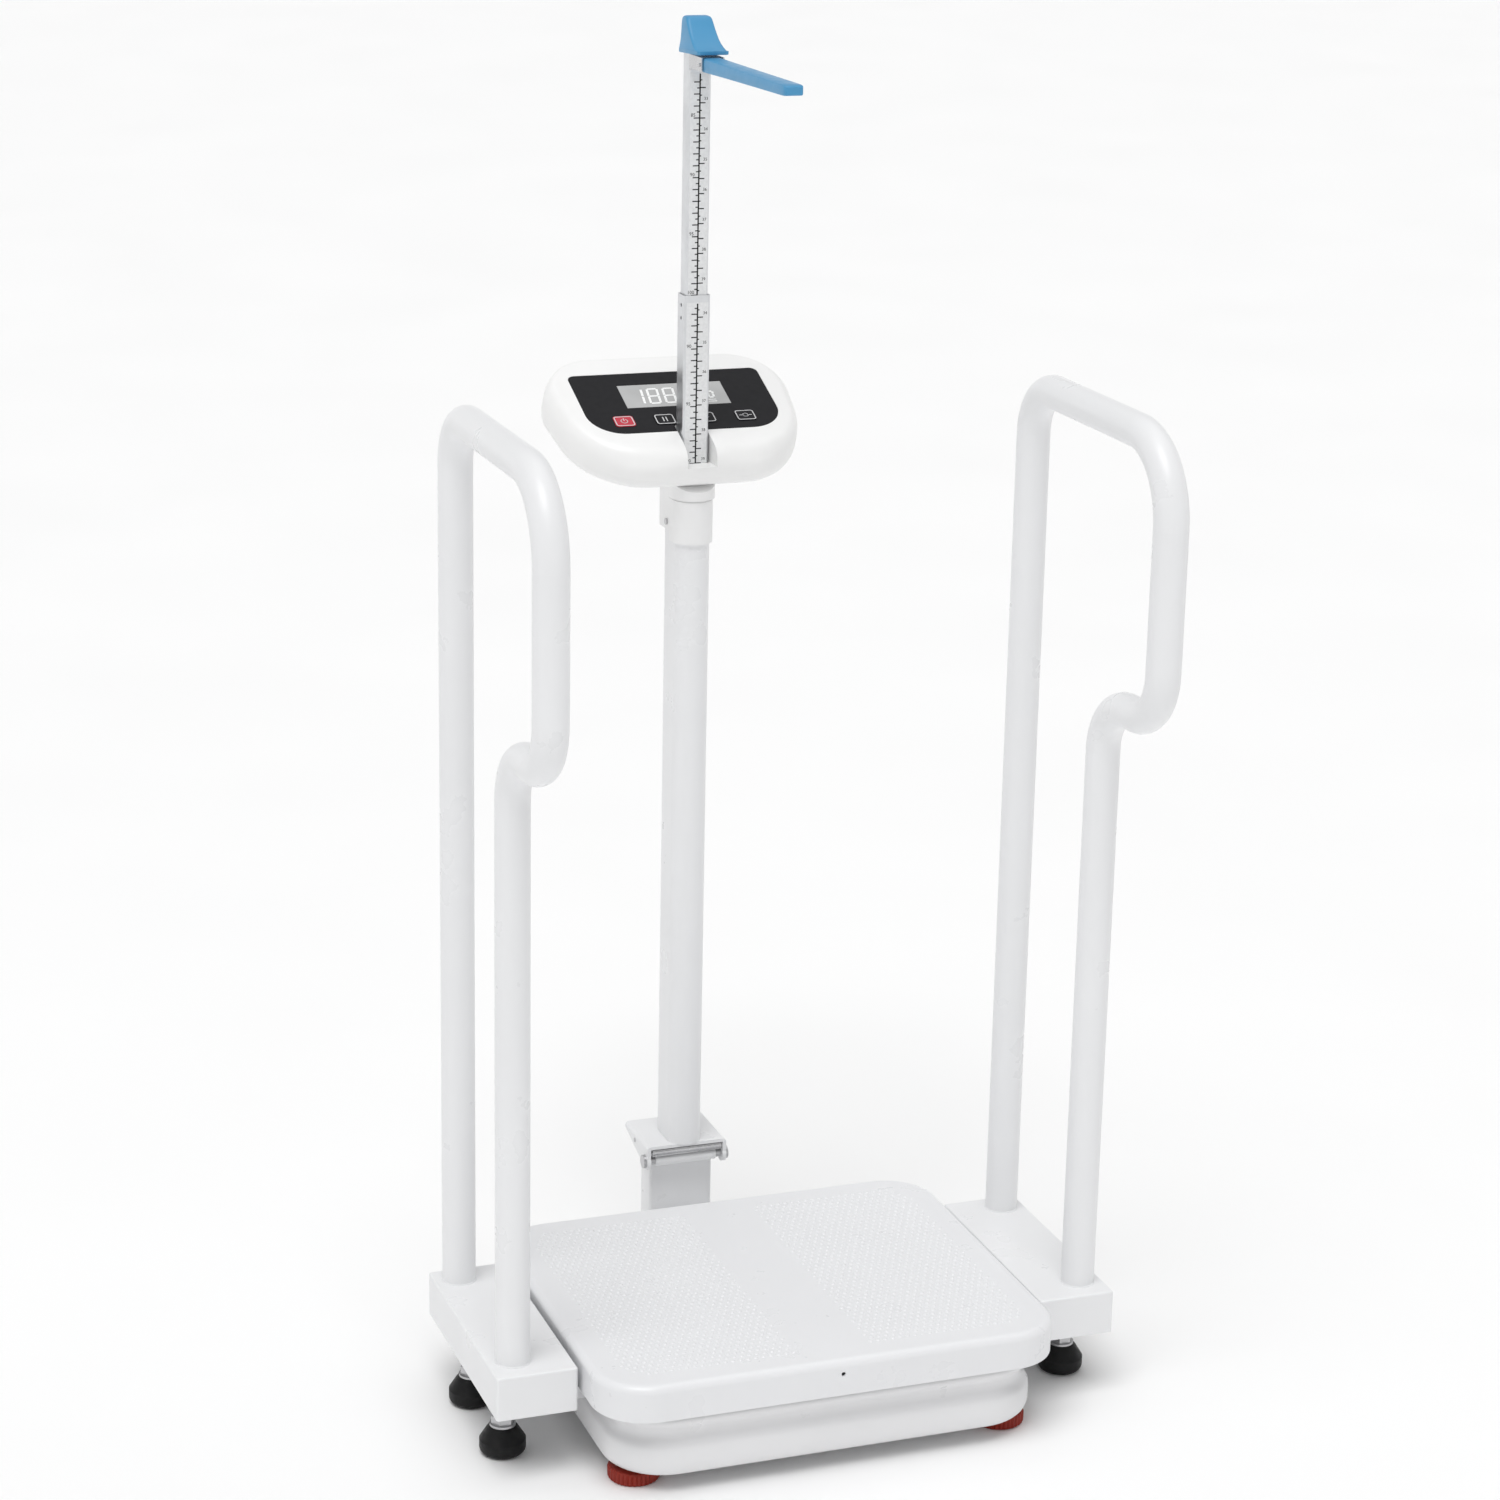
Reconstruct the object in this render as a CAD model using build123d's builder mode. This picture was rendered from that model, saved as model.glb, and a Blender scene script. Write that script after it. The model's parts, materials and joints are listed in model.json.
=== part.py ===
"""Electronic column scale with two handrails and a telescopic height rod.

Frame: millimetres, +Z up, -Y towards the user, +X to the user's right when facing the display
from behind the handrails. The origin lies on the floor, below the centre of the whole object.
"""

import os
from math import cos, radians, sin

from build123d import *

os.makedirs("parts", exist_ok=True)

# ---------------------------------------------------------------- driving dimensions
PLATFORM_Y = -87.0          # centre of the platform, measured from the origin
PLATFORM_W = 404.0
PLATFORM_D = 338.0
PLATFORM_TOP = 103.0
SKIRT = 31.0
PLATFORM_R = 46.0
SHEET = 2.0

PAN_BOTTOM = 15.0
PAN_TOP = 64.0
PAN_WALL = 1.6

BLOCK_IN = 206.0            # inner face of a handrail base, from the middle
BLOCK_OUT = 275.0
BLOCK_FRONT = PLATFORM_Y - 102.0
BLOCK_BACK = PLATFORM_Y + 112.0
BLOCK_BOTTOM = 58.0
BLOCK_TOP = 96.0

RAIL_X = 253.5
RAIL_R = 14.3
RAIL_WALL = 1.6
RAIL_REAR_Y = PLATFORM_Y + 91.0
RAIL_FRONT_Y = PLATFORM_Y - 73.0
RAIL_GRIP_Y = PLATFORM_Y - 175.0
RAIL_TOP = 851.0
RAIL_JOG = 621.0

FOOT_X = 254.0
FOOT_YS = (PLATFORM_Y - 45.0, PLATFORM_Y + 50.0)
STUD_R = 5.0
BAR_BOTTOM = 46.0
BAR_D = 30.0

KNOB_X = 163.0
KNOB_Y = 118.0
KNOB_R = 22.0

HINGE_Y = PLATFORM_Y + 236.0
HINGE_Z = 118.0
HINGE_PIN_R = 4.0
SADDLE_HALF = 38.0
SADDLE_T = 3.5
SADDLE_TOP = 134.0
SADDLE_FRONT = PLATFORM_Y + 229.0
SADDLE_BACK = PLATFORM_Y + 295.0

COLUMN_Y = PLATFORM_Y + 241.0   # centre of the column's round front
COLUMN_HALF = 15.5
COLUMN_BACK = PLATFORM_Y + 269.5
COLUMN_WALL = 2.0
COLUMN_TOP = 742.0

ROD_FRONT = PLATFORM_Y + 234.5
OUTER_HALF = 12.0
OUTER_D = 19.0
OUTER_TOP = 912.0
OUTER_LENGTH = 620.0
INNER_HALF = 10.2
INNER_D = 15.4
INNER_TOP = 1134.0
INNER_LENGTH = 611.0
ROD_WALL = 1.4

PANEL_TILT = 22.5           # slope of the display panel, degrees above level
PANEL_Y = PLATFORM_Y + 288.0
PANEL_Z = 811.5
POD_DEPTH = 38.0
POD_SPLIT = -24.0
POD_WALL = 2.5

KEY_US = (-56.0, -19.0, 18.0, 55.0)
KEY_V = -29.0
KEY_W = 18.0
KEY_H = 15.6
KEY_NAMES = ("key_power", "key_hold", "key_mode", "key_tare")

ARM_PIVOT_Y = PLATFORM_Y + 209.0
ARM_PIVOT_Z = 1109.0
ARM_TIP_Y = PLATFORM_Y + 11.0

PANEL = Plane(
    origin=(0, PANEL_Y, PANEL_Z),
    x_dir=(1, 0, 0),
    z_dir=(0, -sin(radians(PANEL_TILT)), cos(radians(PANEL_TILT))),
)


def save(builder, name):
    """Label a finished piece and write it to its own file."""
    builder.part.label = name
    export_step(builder.part, f"parts/{name}.step")


def level(z, y=0.0, x=0.0):
    """A level plane whose origin is at x, y, z."""
    return Plane(origin=(x, y, z), x_dir=(1, 0, 0), z_dir=(0, 0, 1))


def upright(x, y):
    """An upright plane through x, y: local x runs along +X and local y is the height."""
    return Plane(origin=(x, y, 0), x_dir=(1, 0, 0), z_dir=(0, -1, 0))


def side(x):
    """A side plane at x: local x is the depth Y and local y is the height."""
    return Plane.YZ.offset(x)


def box(x0, x1, y0, y1, z0, z1, mode=Mode.ADD):
    """A box between two corners, added to or cut from the current piece."""
    with Locations(((x0 + x1) / 2, (y0 + y1) / 2, (z0 + z1) / 2)):
        Box(x1 - x0, y1 - y0, z1 - z0, mode=mode)


def rod_along_x(radius, x0, x1, y, z, mode=Mode.ADD):
    """A round bar or bore along X, added to or cut from the current piece."""
    with Locations(Location(((x0 + x1) / 2, y, z), (0, 90, 0))):
        Cylinder(radius, x1 - x0, mode=mode)


# ---------------------------------------------------------------- base pan
PAN_SECTIONS = (            # height, half width, half depth, corner radius
    (PAN_BOTTOM, 178.0, 150.0, 44.0),
    (38.0, 188.0, 160.0, 54.0),
    (52.0, 181.0, 153.0, 47.0),
    (PAN_TOP, 189.0, 161.0, 55.0),
)

with BuildPart() as base_pan:
    for z, half_w, half_d, corner in PAN_SECTIONS:
        with BuildSketch(level(z, PLATFORM_Y)):
            RectangleRounded(2 * half_w, 2 * half_d, corner)
    loft()
    for index, (z, half_w, half_d, corner) in enumerate(PAN_SECTIONS):
        lift = PAN_WALL if index == 0 else 0.0
        with BuildSketch(level(z + lift, PLATFORM_Y)):
            RectangleRounded(
                2 * (half_w - PAN_WALL), 2 * (half_d - PAN_WALL), corner - PAN_WALL
            )
    loft(mode=Mode.SUBTRACT)
    # notches in the side walls for the two cross bars
    for foot_y in FOOT_YS:
        box(-200, 200, foot_y - 16, foot_y + 16, BAR_BOTTOM - 1.5, 60, Mode.SUBTRACT)
    # notch in the rear wall for the column arm
    box(-31, 31, PLATFORM_Y + 130, PLATFORM_Y + 170, 37, 67, Mode.SUBTRACT)
    # holes for the levelling studs
    with BuildSketch(level(PAN_BOTTOM - 1, PLATFORM_Y)):
        with GridLocations(2 * KNOB_X, 2 * KNOB_Y, 2, 2):
            Circle(STUD_R + 0.6)
    extrude(amount=4, mode=Mode.SUBTRACT)
save(base_pan, "base_pan")

# ---------------------------------------------------------------- base frame inside the pan
FRAME_BOTTOM = PAN_BOTTOM + PAN_WALL
FRAME_TOP = 40.0

with BuildPart() as base_frame:
    with BuildSketch(level(FRAME_BOTTOM, PLATFORM_Y)):
        RectangleRounded(336, 250, 12)
        Rectangle(286, 200, mode=Mode.SUBTRACT)
        Rectangle(286, 46)
        with Locations((0, 62)):
            Rectangle(64, 78)
    extrude(amount=FRAME_TOP - FRAME_BOTTOM)
    with BuildSketch(level(FRAME_BOTTOM, PLATFORM_Y)):
        with GridLocations(2 * KNOB_X, 2 * KNOB_Y, 2, 2):
            Circle(10)
    extrude(amount=FRAME_TOP - FRAME_BOTTOM)
    with BuildSketch(level(FRAME_BOTTOM, PLATFORM_Y)):
        with GridLocations(2 * KNOB_X, 2 * KNOB_Y, 2, 2):
            Circle(STUD_R + 0.05)
    extrude(amount=FRAME_TOP - FRAME_BOTTOM, mode=Mode.SUBTRACT)
    # pads that lift the cross bars to their height
    for foot_y in FOOT_YS:
        for x in (-153, 153):
            box(x - 14, x + 14, foot_y - 12, foot_y + 12, FRAME_TOP, BAR_BOTTOM)
save(base_frame, "base_frame")

# ---------------------------------------------------------------- levelling feet
CORNERS = (
    ("front_left", -1, -1),
    ("front_right", 1, -1),
    ("rear_left", -1, 1),
    ("rear_right", 1, 1),
)

for corner_name, sx, sy in CORNERS:
    x = sx * KNOB_X
    y = PLATFORM_Y + sy * KNOB_Y
    with BuildPart() as knob:
        with BuildSketch(level(0, y, x)):
            Circle(KNOB_R)
            with PolarLocations(KNOB_R + 0.5, 28):
                Circle(1.5, mode=Mode.SUBTRACT)
        extrude(amount=11)
        with BuildSketch(level(11, y, x)):
            Circle(11)
        extrude(amount=3.4)
        with BuildSketch(level(3, y, x)):
            Circle(STUD_R)
        extrude(amount=20, mode=Mode.SUBTRACT)
    save(knob, f"levelling_knob_{corner_name}")
    with BuildPart() as knob_stud:
        with BuildSketch(level(3, y, x)):
            Circle(STUD_R)
        extrude(amount=31)
        chamfer(knob_stud.faces().sort_by(Axis.Z)[-1].edges(), 1.0)
    save(knob_stud, f"levelling_stud_{corner_name}")

# ---------------------------------------------------------------- handrail feet
for corner_name, sx, sy in CORNERS:
    x = sx * FOOT_X
    y = FOOT_YS[0] if sy < 0 else FOOT_YS[1]
    with BuildPart() as rubber_foot:
        with BuildSketch(upright(x, y)):
            with BuildLine():
                Polyline((0, 0), (13, 0))
                ThreePointArc((13, 0), (17.6, 1.8), (19.5, 6))
                Polyline((19.5, 6), (19.5, 13), (13.5, 22.5), (11.5, 25), (0, 25), (0, 0))
            make_face()
        revolve(axis=Axis((x, y, 0), (0, 0, 1)))
        with BuildSketch(level(8, y, x)):
            Circle(STUD_R)
        extrude(amount=20, mode=Mode.SUBTRACT)
    save(rubber_foot, f"rubber_foot_{corner_name}")
    with BuildPart() as foot_stud:
        with BuildSketch(level(8, y, x)):
            Circle(STUD_R)
        extrude(amount=62)
        with BuildSketch(level(25, y, x)):
            Circle(11)
        extrude(amount=2)
        with BuildSketch(level(27, y, x)):
            RegularPolygon(9.8, 6)
        extrude(amount=7)
        chamfer(foot_stud.faces().sort_by(Axis.Z)[-1].edges(), 1.0)
    save(foot_stud, f"foot_stud_{corner_name}")

with BuildPart() as foot_locknuts:
    for _, sx, sy in CORNERS:
        y = FOOT_YS[0] if sy < 0 else FOOT_YS[1]
        with BuildSketch(level(BAR_BOTTOM - 6, y, sx * FOOT_X)):
            RegularPolygon(9.8, 6)
            Circle(STUD_R + 0.05, mode=Mode.SUBTRACT)
        extrude(amount=6)
save(foot_locknuts, "foot_locknuts")

# ---------------------------------------------------------------- cross bars and rail bases
for bar_name, foot_y in (("cross_bar_front", FOOT_YS[0]), ("cross_bar_rear", FOOT_YS[1])):
    with BuildPart() as cross_bar:
        with BuildSketch(level(BAR_BOTTOM, foot_y)):
            RectangleRounded(2 * BLOCK_OUT - 14, BAR_D, 2)
            with GridLocations(2 * FOOT_X, 0, 2, 1):
                Circle(STUD_R + 0.05, mode=Mode.SUBTRACT)
        extrude(amount=BLOCK_BOTTOM - BAR_BOTTOM)
    save(cross_bar, bar_name)

with BuildPart() as frame_bolts:
    for foot_y in FOOT_YS:
        with BuildSketch(level(BLOCK_BOTTOM, foot_y)):
            with GridLocations(306, 0, 2, 1):
                RegularPolygon(7.5, 6)
        extrude(amount=5)
save(frame_bolts, "frame_bolts")

for side_name, sx in (("left", -1), ("right", 1)):
    block_x = sx * (BLOCK_IN + BLOCK_OUT) / 2
    block_y = (BLOCK_FRONT + BLOCK_BACK) / 2
    with BuildPart() as rail_base:
        with BuildSketch(level(BLOCK_BOTTOM, block_y, block_x)):
            RectangleRounded(BLOCK_OUT - BLOCK_IN, BLOCK_BACK - BLOCK_FRONT, 2.5)
        extrude(amount=BLOCK_TOP - BLOCK_BOTTOM)
        fillet(rail_base.faces().sort_by(Axis.Z)[-1].edges(), 1.8)
        with BuildSketch(level(BLOCK_BOTTOM, block_y, block_x)):
            Rectangle(BLOCK_OUT - BLOCK_IN - 6, BLOCK_BACK - BLOCK_FRONT - 6)
        extrude(amount=BLOCK_TOP - BLOCK_BOTTOM - 3, mode=Mode.SUBTRACT)
    save(rail_base, f"rail_base_{side_name}")

    rail_x = sx * RAIL_X
    with BuildPart() as handrail:
        with BuildLine(side(rail_x)):
            FilletPolyline(
                (RAIL_REAR_Y, BLOCK_TOP),
                (RAIL_REAR_Y, RAIL_TOP),
                (RAIL_GRIP_Y, RAIL_TOP),
                (RAIL_GRIP_Y, RAIL_JOG),
                (RAIL_FRONT_Y, RAIL_JOG),
                (RAIL_FRONT_Y, BLOCK_TOP),
                radius=(42, 66, 46, 46),
            )
        with BuildSketch(level(BLOCK_TOP, RAIL_REAR_Y, rail_x)):
            Circle(RAIL_R)
            Circle(RAIL_R - RAIL_WALL, mode=Mode.SUBTRACT)
        sweep()
    save(handrail, f"handrail_{side_name}")

# ---------------------------------------------------------------- weighing mechanism
CELL_BOTTOM = 44.0
CELL_TOP = 66.0

with BuildPart() as load_cell:
    box(-65, 65, PLATFORM_Y - 17, PLATFORM_Y + 17, CELL_BOTTOM, CELL_TOP)
    # the two joined holes that make the block bend
    with BuildSketch(Plane(origin=(0, PLATFORM_Y + 17, 55), x_dir=(1, 0, 0), z_dir=(0, -1, 0))):
        with Locations((-11, 0), (11, 0)):
            Circle(8.4)
        Rectangle(22, 5)
    extrude(amount=34, mode=Mode.SUBTRACT)
save(load_cell, "load_cell")

with BuildPart() as load_cell_spacers:
    box(-64, -36, PLATFORM_Y - 17, PLATFORM_Y + 17, FRAME_TOP, CELL_BOTTOM)
    box(36, 64, PLATFORM_Y - 17, PLATFORM_Y + 17, CELL_TOP, CELL_TOP + 4)
save(load_cell_spacers, "load_cell_spacers")

PLATE_BOTTOM = CELL_TOP + 4
PLATE_DEPTH = 22.0

with BuildPart() as platform_frame:
    with BuildSketch(level(PLATE_BOTTOM, PLATFORM_Y)):
        Rectangle(330, 40)
        with Locations((-120, 0), (120, 0)):
            Rectangle(34, 270)
        with Locations((0, 120), (0, -120)):
            Rectangle(240, 30)
    extrude(amount=PLATE_DEPTH)
save(platform_frame, "platform_frame")

with BuildPart() as load_cell_bolts:
    with BuildSketch(level(CELL_TOP, PLATFORM_Y, -50)):
        with GridLocations(14, 18, 2, 2):
            RegularPolygon(5.5, 6)
    extrude(amount=3.5)
save(load_cell_bolts, "load_cell_bolts")

with BuildPart() as platform_pads:
    with BuildSketch(level(PLATE_BOTTOM + PLATE_DEPTH, PLATFORM_Y)):
        with GridLocations(240, 236, 2, 2):
            Circle(13)
    extrude(amount=PLATFORM_TOP - SHEET - PLATE_BOTTOM - PLATE_DEPTH)
save(platform_pads, "platform_pads")

with BuildPart() as overload_stops:
    with BuildSketch(level(FRAME_TOP, PLATFORM_Y)):
        with GridLocations(240, 214, 2, 2):
            RegularPolygon(6.5, 6)
    extrude(amount=PLATE_BOTTOM - FRAME_TOP - 1)
save(overload_stops, "overload_stops")

with BuildPart() as platform_cover:
    with BuildSketch(level(PLATFORM_TOP - SKIRT, PLATFORM_Y)):
        RectangleRounded(PLATFORM_W, PLATFORM_D, PLATFORM_R)
    extrude(amount=SKIRT)
    fillet(platform_cover.faces().sort_by(Axis.Z)[-1].edges(), 6.5)
    offset(amount=-SHEET, openings=platform_cover.faces().sort_by(Axis.Z)[0])
    with BuildSketch(Plane.XZ.offset(-(PLATFORM_Y - PLATFORM_D / 2))):
        with Locations((0, 91)):
            Circle(1.9)
    extrude(amount=3, both=True, mode=Mode.SUBTRACT)
save(platform_cover, "platform_cover")

# ---------------------------------------------------------------- column support
ARM_BOTTOM = FRAME_TOP
ARM_TOP = 64.0
PEDESTAL_HALF = 30.0
PEDESTAL_FRONT = PLATFORM_Y + 245.0
PEDESTAL_BACK = PLATFORM_Y + 273.0
PEDESTAL_TOP = 122.0
BARREL_HALF = 29.0
BARREL_R = 7.0

with BuildPart() as column_arm:
    box(-30, 30, PLATFORM_Y + 66, PEDESTAL_FRONT, ARM_BOTTOM, ARM_TOP)
    box(-27, 27, PLATFORM_Y + 50, PEDESTAL_FRONT + 1, ARM_BOTTOM + 3, ARM_TOP - 3, Mode.SUBTRACT)
save(column_arm, "column_arm")

with BuildPart() as pedestal:
    with BuildSketch(level(ARM_BOTTOM, (PEDESTAL_FRONT + PEDESTAL_BACK) / 2)):
        RectangleRounded(2 * PEDESTAL_HALF, PEDESTAL_BACK - PEDESTAL_FRONT, 3)
        RectangleRounded(
            2 * PEDESTAL_HALF - 6, PEDESTAL_BACK - PEDESTAL_FRONT - 6, 1, mode=Mode.SUBTRACT
        )
    extrude(amount=PEDESTAL_TOP - ARM_BOTTOM)
    # two upright ears that the saddle rests on
    for sx in (-1, 1):
        x0, x1 = sorted((sx * (PEDESTAL_HALF - 3), sx * PEDESTAL_HALF))
        box(x0, x1, PLATFORM_Y + 249, PLATFORM_Y + 260, PEDESTAL_TOP - 10, SADDLE_TOP - 3.2)
    # hinge barrel in front of the top edge
    rod_along_x(BARREL_R, -BARREL_HALF, BARREL_HALF, HINGE_Y, HINGE_Z)
    box(-BARREL_HALF, BARREL_HALF, HINGE_Y, PEDESTAL_FRONT + 2, HINGE_Z - 4, PEDESTAL_TOP)
    rod_along_x(HINGE_PIN_R + 0.06, -40, 40, HINGE_Y, HINGE_Z, Mode.SUBTRACT)
save(pedestal, "pedestal")

with BuildPart() as hinge_pin:
    rod_along_x(HINGE_PIN_R, -SADDLE_HALF - 1, SADDLE_HALF + 1, HINGE_Y, HINGE_Z)
    for sx in (-1, 1):
        with Locations(Location((sx * (SADDLE_HALF + 1.3), HINGE_Y, HINGE_Z), (0, 90, 0))):
            Cylinder(6.2, 2.6)
save(hinge_pin, "hinge_pin")

# ---------------------------------------------------------------- folding saddle and its latch
LATCH_Y = PLATFORM_Y + 266.0
LATCH_Z = 127.0
LATCH_PIN_R = 2.0

with BuildPart() as hinge_saddle:
    with BuildSketch(side(-SADDLE_HALF)):
        with BuildLine():
            Polyline(
                (SADDLE_FRONT, HINGE_Z),
                (SADDLE_FRONT, SADDLE_TOP),
                (SADDLE_BACK, SADDLE_TOP),
                (SADDLE_BACK, SADDLE_TOP - 5),
                (HINGE_Y + 6.5, HINGE_Z - 5),
                (SADDLE_FRONT, HINGE_Z),
            )
        make_face()
        with Locations((HINGE_Y, HINGE_Z)):
            Circle(8)
    extrude(amount=2 * SADDLE_HALF)
    fillet(
        hinge_saddle.edges().filter_by(Axis.Y).group_by(Axis.Z)[-1],
        3.5,
    )
    box(
        SADDLE_T - SADDLE_HALF, SADDLE_HALF - SADDLE_T,
        SADDLE_FRONT - 10, SADDLE_BACK + 5,
        HINGE_Z - 12, SADDLE_TOP - 3,
        Mode.SUBTRACT,
    )
    rod_along_x(HINGE_PIN_R + 0.02, -40, 40, HINGE_Y, HINGE_Z, Mode.SUBTRACT)
    rod_along_x(LATCH_PIN_R + 0.02, -40, 40, LATCH_Y, LATCH_Z, Mode.SUBTRACT)
save(hinge_saddle, "hinge_saddle")

with BuildPart() as latch_pin:
    rod_along_x(LATCH_PIN_R, -SADDLE_HALF - 0.6, SADDLE_HALF + 0.6, LATCH_Y, LATCH_Z)
save(latch_pin, "latch_pin")

with BuildPart() as latch_plate:
    box(-24, 24, SADDLE_FRONT + 2, LATCH_Y, LATCH_Z - 0.2, LATCH_Z + 1.3)
    box(-32, 32, SADDLE_FRONT + 1, SADDLE_FRONT + 9, LATCH_Z - 0.2, LATCH_Z + 1.3)
    box(-32, 32, SADDLE_FRONT + 1, SADDLE_FRONT + 2.5, LATCH_Z - 2.7, LATCH_Z + 1.3)
    rod_along_x(LATCH_PIN_R + 1.4, -24, 24, LATCH_Y, LATCH_Z)
    rod_along_x(LATCH_PIN_R + 0.06, -25, 25, LATCH_Y, LATCH_Z, Mode.SUBTRACT)
save(latch_plate, "latch_plate")

# ---------------------------------------------------------------- column, collar and bracket


def bullet(half, back):
    """Outline of the column: a round front about the column's centre and a flat back."""
    Circle(half)
    with Locations((0, (back - COLUMN_Y) / 2)):
        Rectangle(2 * half, back - COLUMN_Y)


with BuildPart() as column_tube:
    with BuildSketch(level(SADDLE_TOP, COLUMN_Y)):
        bullet(COLUMN_HALF, COLUMN_BACK)
    extrude(amount=COLUMN_TOP - SADDLE_TOP)
    fillet(column_tube.faces().sort_by(Axis.Y)[-1].edges().filter_by(Axis.Z), 2.5)
    with BuildSketch(level(SADDLE_TOP, COLUMN_Y)):
        bullet(COLUMN_HALF - COLUMN_WALL, COLUMN_BACK - COLUMN_WALL)
    extrude(amount=COLUMN_TOP - SADDLE_TOP, mode=Mode.SUBTRACT)
save(column_tube, "column_tube")

COLLAR_HALF = 18.0
COLLAR_BOTTOM = 696.0
RING_Z = 733.5
BRACKET_SPLIT = PLATFORM_Y + 250.0
BRACKET_BACK = PLATFORM_Y + 276.0
BRACKET_BOTTOM = 704.0
HEAD_HIGH = 780.0
POD_FLOOR = PANEL.offset(-POD_DEPTH - 0.1)
ROD_HOLE = (
    -OUTER_HALF - 0.4, OUTER_HALF + 0.4, ROD_FRONT - 0.4, ROD_FRONT + OUTER_D + 0.4,
)

with BuildPart() as column_collar:
    with BuildSketch(level(COLLAR_BOTTOM, COLUMN_Y)):
        bullet(COLLAR_HALF, BRACKET_BACK)
    extrude(amount=RING_Z - COLLAR_BOTTOM)
    with BuildSketch(level(RING_Z, COLUMN_Y)):
        bullet(COLLAR_HALF - 1.2, BRACKET_BACK)
    extrude(amount=1.5)
    with BuildSketch(level(RING_Z + 1.5, COLUMN_Y)):
        bullet(COLLAR_HALF + 1.6, BRACKET_BACK)
    extrude(amount=HEAD_HIGH - RING_Z - 1.5)
    with BuildSketch(level(COLLAR_BOTTOM, COLUMN_Y)):
        bullet(COLUMN_HALF + 0.1, COLUMN_BACK + 0.1)
    extrude(amount=COLUMN_TOP - COLLAR_BOTTOM + 0.1, mode=Mode.SUBTRACT)
    box(*ROD_HOLE, COLUMN_TOP - 5, HEAD_HIGH + 5, Mode.SUBTRACT)
    box(-40, 40, BRACKET_SPLIT, BRACKET_BACK + 40, 600, 900, Mode.SUBTRACT)
    split(bisect_by=POD_FLOOR, keep=Keep.BOTTOM)
save(column_collar, "column_collar")

with BuildPart() as indicator_bracket:
    with BuildSketch(level(BRACKET_BOTTOM, COLUMN_Y)):
        bullet(COLLAR_HALF, BRACKET_BACK)
    extrude(amount=HEAD_HIGH + 10 - BRACKET_BOTTOM)
    with BuildSketch(level(BRACKET_BOTTOM, COLUMN_Y)):
        bullet(COLUMN_HALF + 0.1, COLUMN_BACK + 0.1)
    extrude(amount=COLUMN_TOP - BRACKET_BOTTOM + 0.1, mode=Mode.SUBTRACT)
    box(*ROD_HOLE, COLUMN_TOP - 5, HEAD_HIGH + 15, Mode.SUBTRACT)
    box(-40, 40, PLATFORM_Y + 200, BRACKET_SPLIT, 600, 900, Mode.SUBTRACT)
    split(bisect_by=POD_FLOOR, keep=Keep.BOTTOM)
    rod_along_x(1.5, -30, 30, BRACKET_SPLIT + 6, BRACKET_BOTTOM + 7, Mode.SUBTRACT)
save(indicator_bracket, "indicator_bracket")

with BuildPart() as bracket_screws:
    for sx in (-1, 1):
        x0, x1 = sorted((sx * (COLUMN_HALF + 0.3), sx * (COLLAR_HALF + 0.4)))
        rod_along_x(1.45, x0, x1, BRACKET_SPLIT + 6, BRACKET_BOTTOM + 7)
        x0, x1 = sorted((sx * (COLLAR_HALF + 0.05), sx * (COLLAR_HALF + 1.4)))
        rod_along_x(2.9, x0, x1, BRACKET_SPLIT + 6, BRACKET_BOTTOM + 7)
save(bracket_screws, "bracket_screws")

# ---------------------------------------------------------------- display housing
POD_SECTIONS = (            # height above the panel, half width, front, back, front and back radius
    (-POD_DEPTH, 106.0, -78.0, 69.0, 56.0, 44.0),
    (-26.0, 113.0, -86.0, 73.0, 62.0, 48.0),
    (-10.0, 109.0, -82.0, 72.0, 58.0, 45.0),
    (0.0, 98.0, -61.0, 67.0, 46.0, 36.0),
)
NOTCH_Z = 766.0
NOTCH_HALF = OUTER_HALF + 1.4
SHEATH = 2.2


def pod_section(half, front, back, front_r, back_r, inset=0.0):
    """One level outline of the housing, a rectangle with large corners."""
    with BuildSketch(Plane.XY) as outline:
        with Locations((0, (front + back) / 2)):
            Rectangle(2 * (half - inset), back - front - 2 * inset)
        fillet(outline.vertices().group_by(Axis.Y)[0], front_r - inset)
        fillet(outline.vertices().group_by(Axis.Y)[-1], back_r - inset)
    return outline.sketch


def pod_solid(inset):
    """The housing's closed outer form, or its inside when inset by the wall."""
    with BuildPart() as pod:
        for height, half, front, back, front_r, back_r in POD_SECTIONS:
            squeezed = max(min(height, -inset), inset - POD_DEPTH)
            with BuildSketch(PANEL.offset(squeezed)):
                add(pod_section(half, front, back, front_r, back_r, inset))
        loft()
    return pod.part


POD_OUTER = pod_solid(0.0)
POD_INNER = pod_solid(POD_WALL)


def cut_rod_way():
    """The open groove that the height rod rises through, and its way down to the column."""
    box(*ROD_HOLE, 700, 900, Mode.SUBTRACT)
    box(
        -NOTCH_HALF, NOTCH_HALF,
        PLATFORM_Y + 190, ROD_FRONT + OUTER_D + 1.0,
        NOTCH_Z, 900,
        Mode.SUBTRACT,
    )


def add_sheath():
    """Walls round the rod's way, so that the housing stays closed beside it."""
    wall = Box(
        2 * (NOTCH_HALF + SHEATH), 90, 260,
        mode=Mode.PRIVATE,
    ).moved(Location((0, ROD_FRONT + OUTER_D + 1.0 + SHEATH - 45, 790)))
    add(wall & POD_OUTER)


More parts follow.
